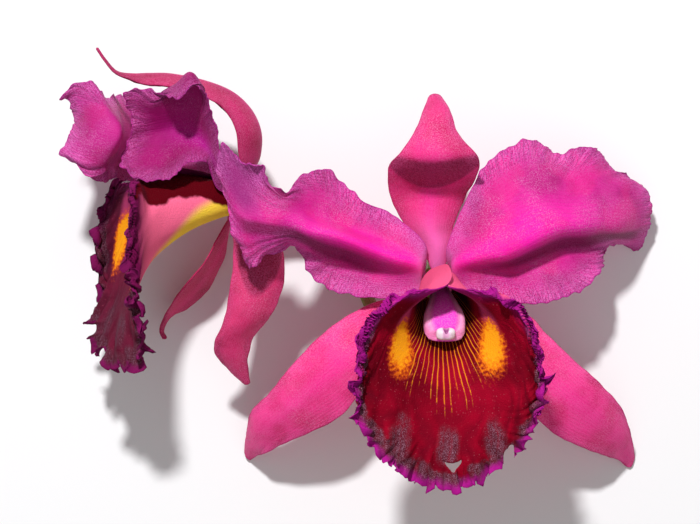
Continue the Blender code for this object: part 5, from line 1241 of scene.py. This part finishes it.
# The column, and the cap over the pollen at its tip.
columnShape = {
    # ahead, up, half width and half height of each station
    "stations": (
        (0.0, 0.3, 2.7, 2.7), (7.0, 0.8, 2.8, 2.7), (14.0, 0.9, 3.8, 3.1), (20.5, -0.4, 5.4, 3.4),
        (25.0, -2.4, 6.7, 3.4), (28.4, -5.0, 6.6, 3.3), (30.1, -6.8, 5.4, 2.7),
    ),
    "rings": 70, "sides": 64,
    "tip": ((0.86, 0.25), (0.6, 0.0), (0.3, -0.35), (0.06, -0.4)),  # share of the last ring, how far ahead
    "wing": (0.96, 0.34, 0.62), "wingDeep": (0.90, 0.20, 0.50), "back": (0.90, 0.035, 0.58),
    "foot": (0.80, 0.20, 0.30), "paintedFrostGlint": (0.95, 0.62, 0.85),
}
capShape = {
    "middle": (-5.6, 31.7), "size": (3.2, 2.1, 1.7), "rings": 30, "sides": 48, "notch": 0.5, "bulge": 0.35,
    "pearl": (0.93, 0.84, 0.90), "pearlDeep": (0.86, 0.66, 0.80), "blush": (0.84, 0.30, 0.62),
    "crown": (0.22, 0.005, 0.14), "flank": (0.85, 0.18, 0.55),
}


def columnFinish(name):
    material, wire, shader = newMaterial(name, 0.42, 0.1, (1.0, 0.8, 1.0), 0.15)
    across, along = wire.bladeMap()
    grain = wire.group(grainGroup, Scale=2200.0, Contrast=0.5)
    wings = wire.mix(wire.cloud(260.0, 0.3, 0.7), columnShape["wing"], columnShape["wingDeep"])
    colour = wire.mix(wire.ramp(wire.between(across, 0.5), 0.36, 0.18), wings, columnShape["back"])
    colour = wire.mix(wire.ramp(along, 0.45, 0.0), colour, columnShape["foot"])
    # pale painted sparkle of the cells
    colour = wire.mix(wire.times(grain["Grain"], 0.16), colour, columnShape["paintedFrostGlint"])
    wire.feed(shader.inputs["Base Color"], colour)
    wire.bump(shader, grain["Grain"], 0.00004)
    return material


def capFinish(name):
    material, wire, shader = newMaterial(name, 0.35, 0.0, (1.0, 1.0, 1.0), 0.3)
    across, along = wire.bladeMap()
    half = wire.between(across, 0.5)
    pearl = wire.mix(wire.cloud(500.0, 0.3, 0.7), capShape["pearl"], capShape["pearlDeep"])
    blush = wire.times(wire.ramp(half, 0.24, 0.05), wire.ramp(along, 0.12, 0.45), 0.8)
    # a wedge on the crown, which widens upwards
    crown = wire.ramp(wire.minus(half, wire.times(wire.minus(along, 0.56), 0.40)), 0.03, -0.03)
    crown = wire.times(crown, wire.ramp(along, 0.58, 0.68), wire.ramp(along, 0.98, 0.84), 0.85)
    colour = wire.mix(crown, wire.mix(blush, pearl, capShape["blush"]), capShape["crown"])
    colour = wire.mix(wire.ramp(half, 0.34, 0.48), colour, capShape["flank"])
    wire.feed(shader.inputs["Base Color"], colour)
    wire.bump(shader, wire.mottle(1500.0, 1.0), 0.00003)
    return material


def ringBody(name, rings, flat, finish):
    # a closed body through rings of one count, its ends drawn together to tiny holes that are then filled
    count, sides = len(rings), len(rings[0])
    index = np.arange(count * sides).reshape(count, sides)
    nextSide = np.roll(index, -1, axis=1)
    faces = np.stack([index[:-1], nextSide[:-1], nextSide[1:], index[1:]], axis=-1).reshape(-1, 4)
    mesh, faces = quadMesh(name, np.concatenate(rings), faces)
    addMarks(mesh, faces, {}, flat.reshape(-1, 2).astype(float))
    build = bmesh.new()
    build.from_mesh(mesh)
    bmesh.ops.holes_fill(build, edges=[edge for edge in build.edges if edge.is_boundary], sides=0)
    bmesh.ops.recalc_face_normals(build, faces=build.faces)
    build.to_mesh(mesh)
    build.free()
    mesh.materials.append(finish)
    return mesh


def inBloomRing(heart, axes, across, up, ahead):
    return heart + np.outer(across, axes[0]) + np.outer(up, axes[1]) + np.outer(ahead, axes[2])


def makeColumn(name, bloom, finish):
    heart, axes = blooms[bloom]
    sides, count = columnShape["sides"], columnShape["rings"]
    stations = smoothCurve(columnShape["stations"], np.linspace(0, 1, count))
    turn = np.linspace(0, math.tau, sides, endpoint=False)
    cosine, sine = np.cos(turn), np.sin(turn)
    rings = []
    for ahead, up, halfWidth, halfHeight in stations:
        wing = smoothStep((ahead - 12.0) / 12.0)
        square = 1 - 0.3 * smoothStep((ahead - 20.0) / 8.0)
        flare = 1 + 0.06 * wing * np.exp(-(((sine + 0.45) / 0.3) ** 2))
        crease = 1 - 0.13 * wing * np.exp(-(((np.abs(cosine) - 0.62) / 0.12) ** 2)) * (sine > 0)
        across = halfWidth * np.sign(cosine) * np.abs(cosine) ** square * flare
        height = halfHeight * np.sign(sine) * np.abs(sine) ** square * np.where(sine < 0, 0.75, 1.0) * crease
        rings.append(inBloomRing(heart, axes, across, up + height, ahead + spray["seatGap"]))
    middle = rings[-1].mean(axis=0)
    rings += [middle + (rings[-1] - middle) * share + axes[2] * dip for share, dip in columnShape["tip"]]
    flat = np.empty((len(rings), sides, 2))
    flat[..., 0] = (cosine + 1) / 2
    flat[..., 1] = np.minimum(np.arange(len(rings)) / count, 1.0)[:, None]
    return addPiece(name, ringBody(name, rings, flat, finish), bloom + "_column")


def makeCap(name, bloom, finish):
    heart, axes = blooms[bloom]
    middleUp, middleAhead = capShape["middle"]
    halfWidth, halfHeight, halfDepth = capShape["size"]
    turn = np.linspace(0, math.tau, capShape["sides"], endpoint=False)
    square = (np.abs(np.cos(turn)) ** 3 + np.abs(np.sin(turn)) ** 3) ** (-1 / 3)
    rings, flat = [], []
    for tilt in np.radians(np.linspace(-78, 86, capShape["rings"])):
        size = math.cos(tilt) ** 0.8
        across = halfWidth * size * np.cos(turn) * square
        up = halfHeight * size * np.sin(turn) * square
        notch = capShape["notch"] * np.exp(-((across / 0.55) ** 2)) * smoothStep(np.sin(turn) * 1.5) * size
        bulge = capShape["bulge"] * np.exp(-(((np.abs(across) - 1.3) / 0.8) ** 2)) * max(math.sin(tilt), 0.0)
        ahead = middleAhead + halfDepth * math.sin(tilt) + bulge - notch * 0.5
        rings.append(inBloomRing(heart, axes, across, middleUp + up - notch, ahead))
        flatAcross, flatUp = across / (2 * halfWidth * 1.2), up / (2 * halfHeight * 1.2)
        flat.append(np.stack([0.5 + flatAcross, 0.5 + flatUp], axis=1))
    return addPiece(name, ringBody(name, rings, np.array(flat), finish), bloom + "_anther_cap")


columnSkin, capSkin = columnFinish("columnSkin"), capFinish("capSkin")
for bloom in blooms:
    makeColumn(bloom + "Column", bloom, columnSkin)
    makeCap(bloom + "AntherCap", bloom, capSkin)
print("columns and caps set")

# The cut stem and the two stalks, each with its ovary. Their points count from a place on the table.
stalks = {
    "stem": ((0.0, -52.0, 3.3), (0.0, -36.0, 3.3), (-0.5, -19.0, 3.8)),
    "frontOvary": (
        (-0.5, -18.65, 4.2), (-0.9, -8.0, 4.6), (-0.9, 2.5, 7.5), (-0.5, 8.0, 14.0), (-0.1, 6.6, 23.0),
    ),
    "sideOvaryStart": ((-4.8, -2.8, 4.2), (-9.5, -2.4, 4.4), (-19.0, 6.5, 7.0)),
    "sideOvary": ((35.0, -15.5, 12.0), (22.5, -5.0, 19.5), (11.0, 0.3, 26.5)),
    "radii": (2.3, 2.3, 2.4, 2.8, 3.2, 3.4),
    # how far ahead of the heart each ring of the seat is, and its radius
    "seat": ((-2.6, 3.9), (-2.0, 4.6), (-1.5, 5.3), (-1.0, 5.8), (-0.6, 6.0), (-0.25, 6.0), (0.0, 5.8)),
    "stemRadius": 3.4, "jointRadius": 4.3,
    "ribs": 3.0, "ribDepth": 0.05, "sides": 60,
    "green": (0.17, 0.25, 0.055), "pale": (0.30, 0.36, 0.10), "flush": (0.26, 0.045, 0.06),
    "paintedStalkGlint": (0.42, 0.45, 0.22), "wound": (0.50, 0.52, 0.25), "woundDeep": (0.34, 0.36, 0.13),
}


def fromPlace(place, points):
    return [np.array((place[0] + x, place[1] + y, z)) for x, y, z in points]


def stalkFinish(name, cutAt):
    material, wire, shader = newMaterial(name, 0.5, 0.08, (0.8, 1.0, 0.7), 0.1)
    turn = wire.times(wire.mark("roundStalk"), math.tau)
    x, y = (wire.times(wire.work(way, turn), 7.0) for way in ("COSINE", "SINE"))
    fibre = wire.noise(wire.vector(x, y, wire.times(wire.mark("alongStalk"), 0.10)), detail=3.0)
    grain = wire.group(grainGroup, Scale=1500.0, Contrast=0.6)
    colour = wire.mix(wire.ramp(fibre, 0.38, 0.62), stalks["green"], stalks["pale"])
    colour = wire.mix(wire.times(wire.cloud(60.0, 0.42, 0.68), 0.6), colour, stalks["flush"])
    # pale painted glints of the cells
    colour = wire.mix(wire.times(grain["Sparkle"], 0.25), colour, stalks["paintedStalkGlint"])
    cut = wire.ramp(wire.parts(wire.place())["Y"], cutAt + 0.00025, cutAt + 0.00005)
    wound = wire.mix(wire.cloud(1400.0, 0.4, 0.6, 1.0), stalks["wound"], stalks["woundDeep"])
    wire.feed(shader.inputs["Base Color"], wire.mix(cut, colour, wound))
    wire.bump(shader, wire.plus(fibre, wire.times(grain["Grain"], 0.2)), 0.0003)
    return material


def makeStalk(name, points, radii, node, ribDepth, finish):
    route = bpy.data.curves.new(name, "CURVE")
    route.dimensions = "3D"
    line = route.splines.new("POLY")
    line.points.add(len(points) - 1)
    line.points.foreach_set("co", np.c_[points, np.ones(len(points))].ravel())
    line.points.foreach_set("radius", np.asarray(radii, float))
    settings = {"Ribs": stalks["ribs"], "Rib Depth": ribDepth, "Sides": stalks["sides"], "Finish": finish}
    return addPiece(name, grownMesh(name, route, stalkTree, settings), node)


def ovaryRoute(route, heart, forward):
    at = np.linspace(0, 1, 90)
    points = smoothCurve([*route, heart - forward * 5.0, heart - forward * 0.9], at)
    radii = smoothCurve(np.array(stalks["radii"])[:, None], at)[:, 0]
    kept = ((points - heart) @ forward < -3.2) | (at < 0.7)
    seat = np.array(stalks["seat"])
    points = np.concatenate([points[kept], heart + seat[:, :1] * forward])
    return points, np.concatenate([radii[kept], seat[:, 1]])


stemRoute = fromPlace(spray["frontHeart"], stalks["stem"])
stemAt = np.linspace(0, 1, 60)
stemPoints = smoothCurve(stemRoute, stemAt)
stemSwell = stalks["jointRadius"] - stalks["stemRadius"]
stemRadii = stalks["stemRadius"] + stemSwell * smoothStep((stemAt - 0.7) / 0.2)
stemRadii[:2] -= (0.5, 0.12)  # both ends are rounded off
stemRadii[-3:] -= (0.15, 0.5, 1.2)
stalkSkin = stalkFinish("stalkSkin", stemRoute[0][1] * 0.001)
makeStalk("flowerStem", stemPoints, stemRadii, "flower_stem", 0.0, stalkSkin)
sideStart = fromPlace(stemRoute[-1], stalks["sideOvaryStart"])
ovaryRoutes = {
    "front": fromPlace(spray["frontHeart"], stalks["frontOvary"]),
    "side": sideStart + fromPlace(spray["sideHeart"], stalks["sideOvary"]),
}
for bloom, route in ovaryRoutes.items():
    heart, axes = blooms[bloom]
    points, radii = ovaryRoute(route, heart, axes[2])
    makeStalk(bloom + "Ovary", points, radii, bloom + "_ovary", stalks["ribDepth"], stalkSkin)
print("stem and stalks laid")

studio = {
    "floor": (0.86, 0.86, 0.87), "floorReach": 3.0, "floorHeight": -0.00015,
    "keyPower": 19.0, "keySize": 0.11, "keyAt": (-0.20, 0.76, 1.12),
    "fillPower": 2.2, "fillSize": 1.4, "fillAt": (0.3, -0.5, 1.3),
    "sky": 0.30,
    "cameraAt": (-0.00347, 0.0015, 1.040),  # straight above, one metre over the blooms
    "seenAcross": 0.233333,
}


def makeFloor():
    reach, height = studio["floorReach"], studio["floorHeight"]
    corners = [(x * reach, y * reach, height) for x, y in ((-1, -1), (1, -1), (1, 1), (-1, 1))]
    mesh = bpy.data.meshes.new("table")
    mesh.from_pydata(corners, [], [(0, 1, 2, 3)])
    material, wire, shader = newMaterial("paleTable", 0.8)
    shader.inputs["Base Color"].default_value = (*studio["floor"], 1.0)
    mesh.materials.append(material)
    floor = bpy.data.objects.new("table", mesh)
    bpy.context.scene.collection.objects.link(floor)


def makeLamp(name, at, size, power):
    lamp = bpy.data.lights.new(name, "AREA")
    lamp.shape = "DISK"
    lamp.size = size
    lamp.energy = power
    thing = bpy.data.objects.new(name, lamp)
    thing.location = at
    away = np.array(at) / np.linalg.norm(at)
    thing.rotation_euler = (math.acos(away[2]), 0.0, math.atan2(away[1], away[0]) + math.pi / 2)
    bpy.context.scene.collection.objects.link(thing)


def makeCamera():
    camera = bpy.data.cameras.new("camera")
    camera.sensor_width = 36.0
    camera.lens = camera.sensor_width / studio["seenAcross"]
    camera.clip_start, camera.clip_end = 0.01, 10.0
    thing = bpy.data.objects.new("camera", camera)
    thing.location = studio["cameraAt"]
    bpy.context.scene.collection.objects.link(thing)
    bpy.context.scene.camera = thing


def makeSky():
    sky = bpy.data.worlds.new("sky")
    sky.use_nodes = True
    background = sky.node_tree.nodes["Background"]
    background.inputs["Color"].default_value = (1.0, 1.0, 1.0, 1.0)
    background.inputs["Strength"].default_value = studio["sky"]
    bpy.context.scene.world = sky


makeFloor()
makeLamp("key", studio["keyAt"], studio["keySize"], studio["keyPower"])
makeLamp("fill", studio["fillAt"], studio["fillSize"], studio["fillPower"])
makeCamera()
makeSky()
bpy.context.scene.view_settings.view_transform = "Standard"
print("light and camera placed")
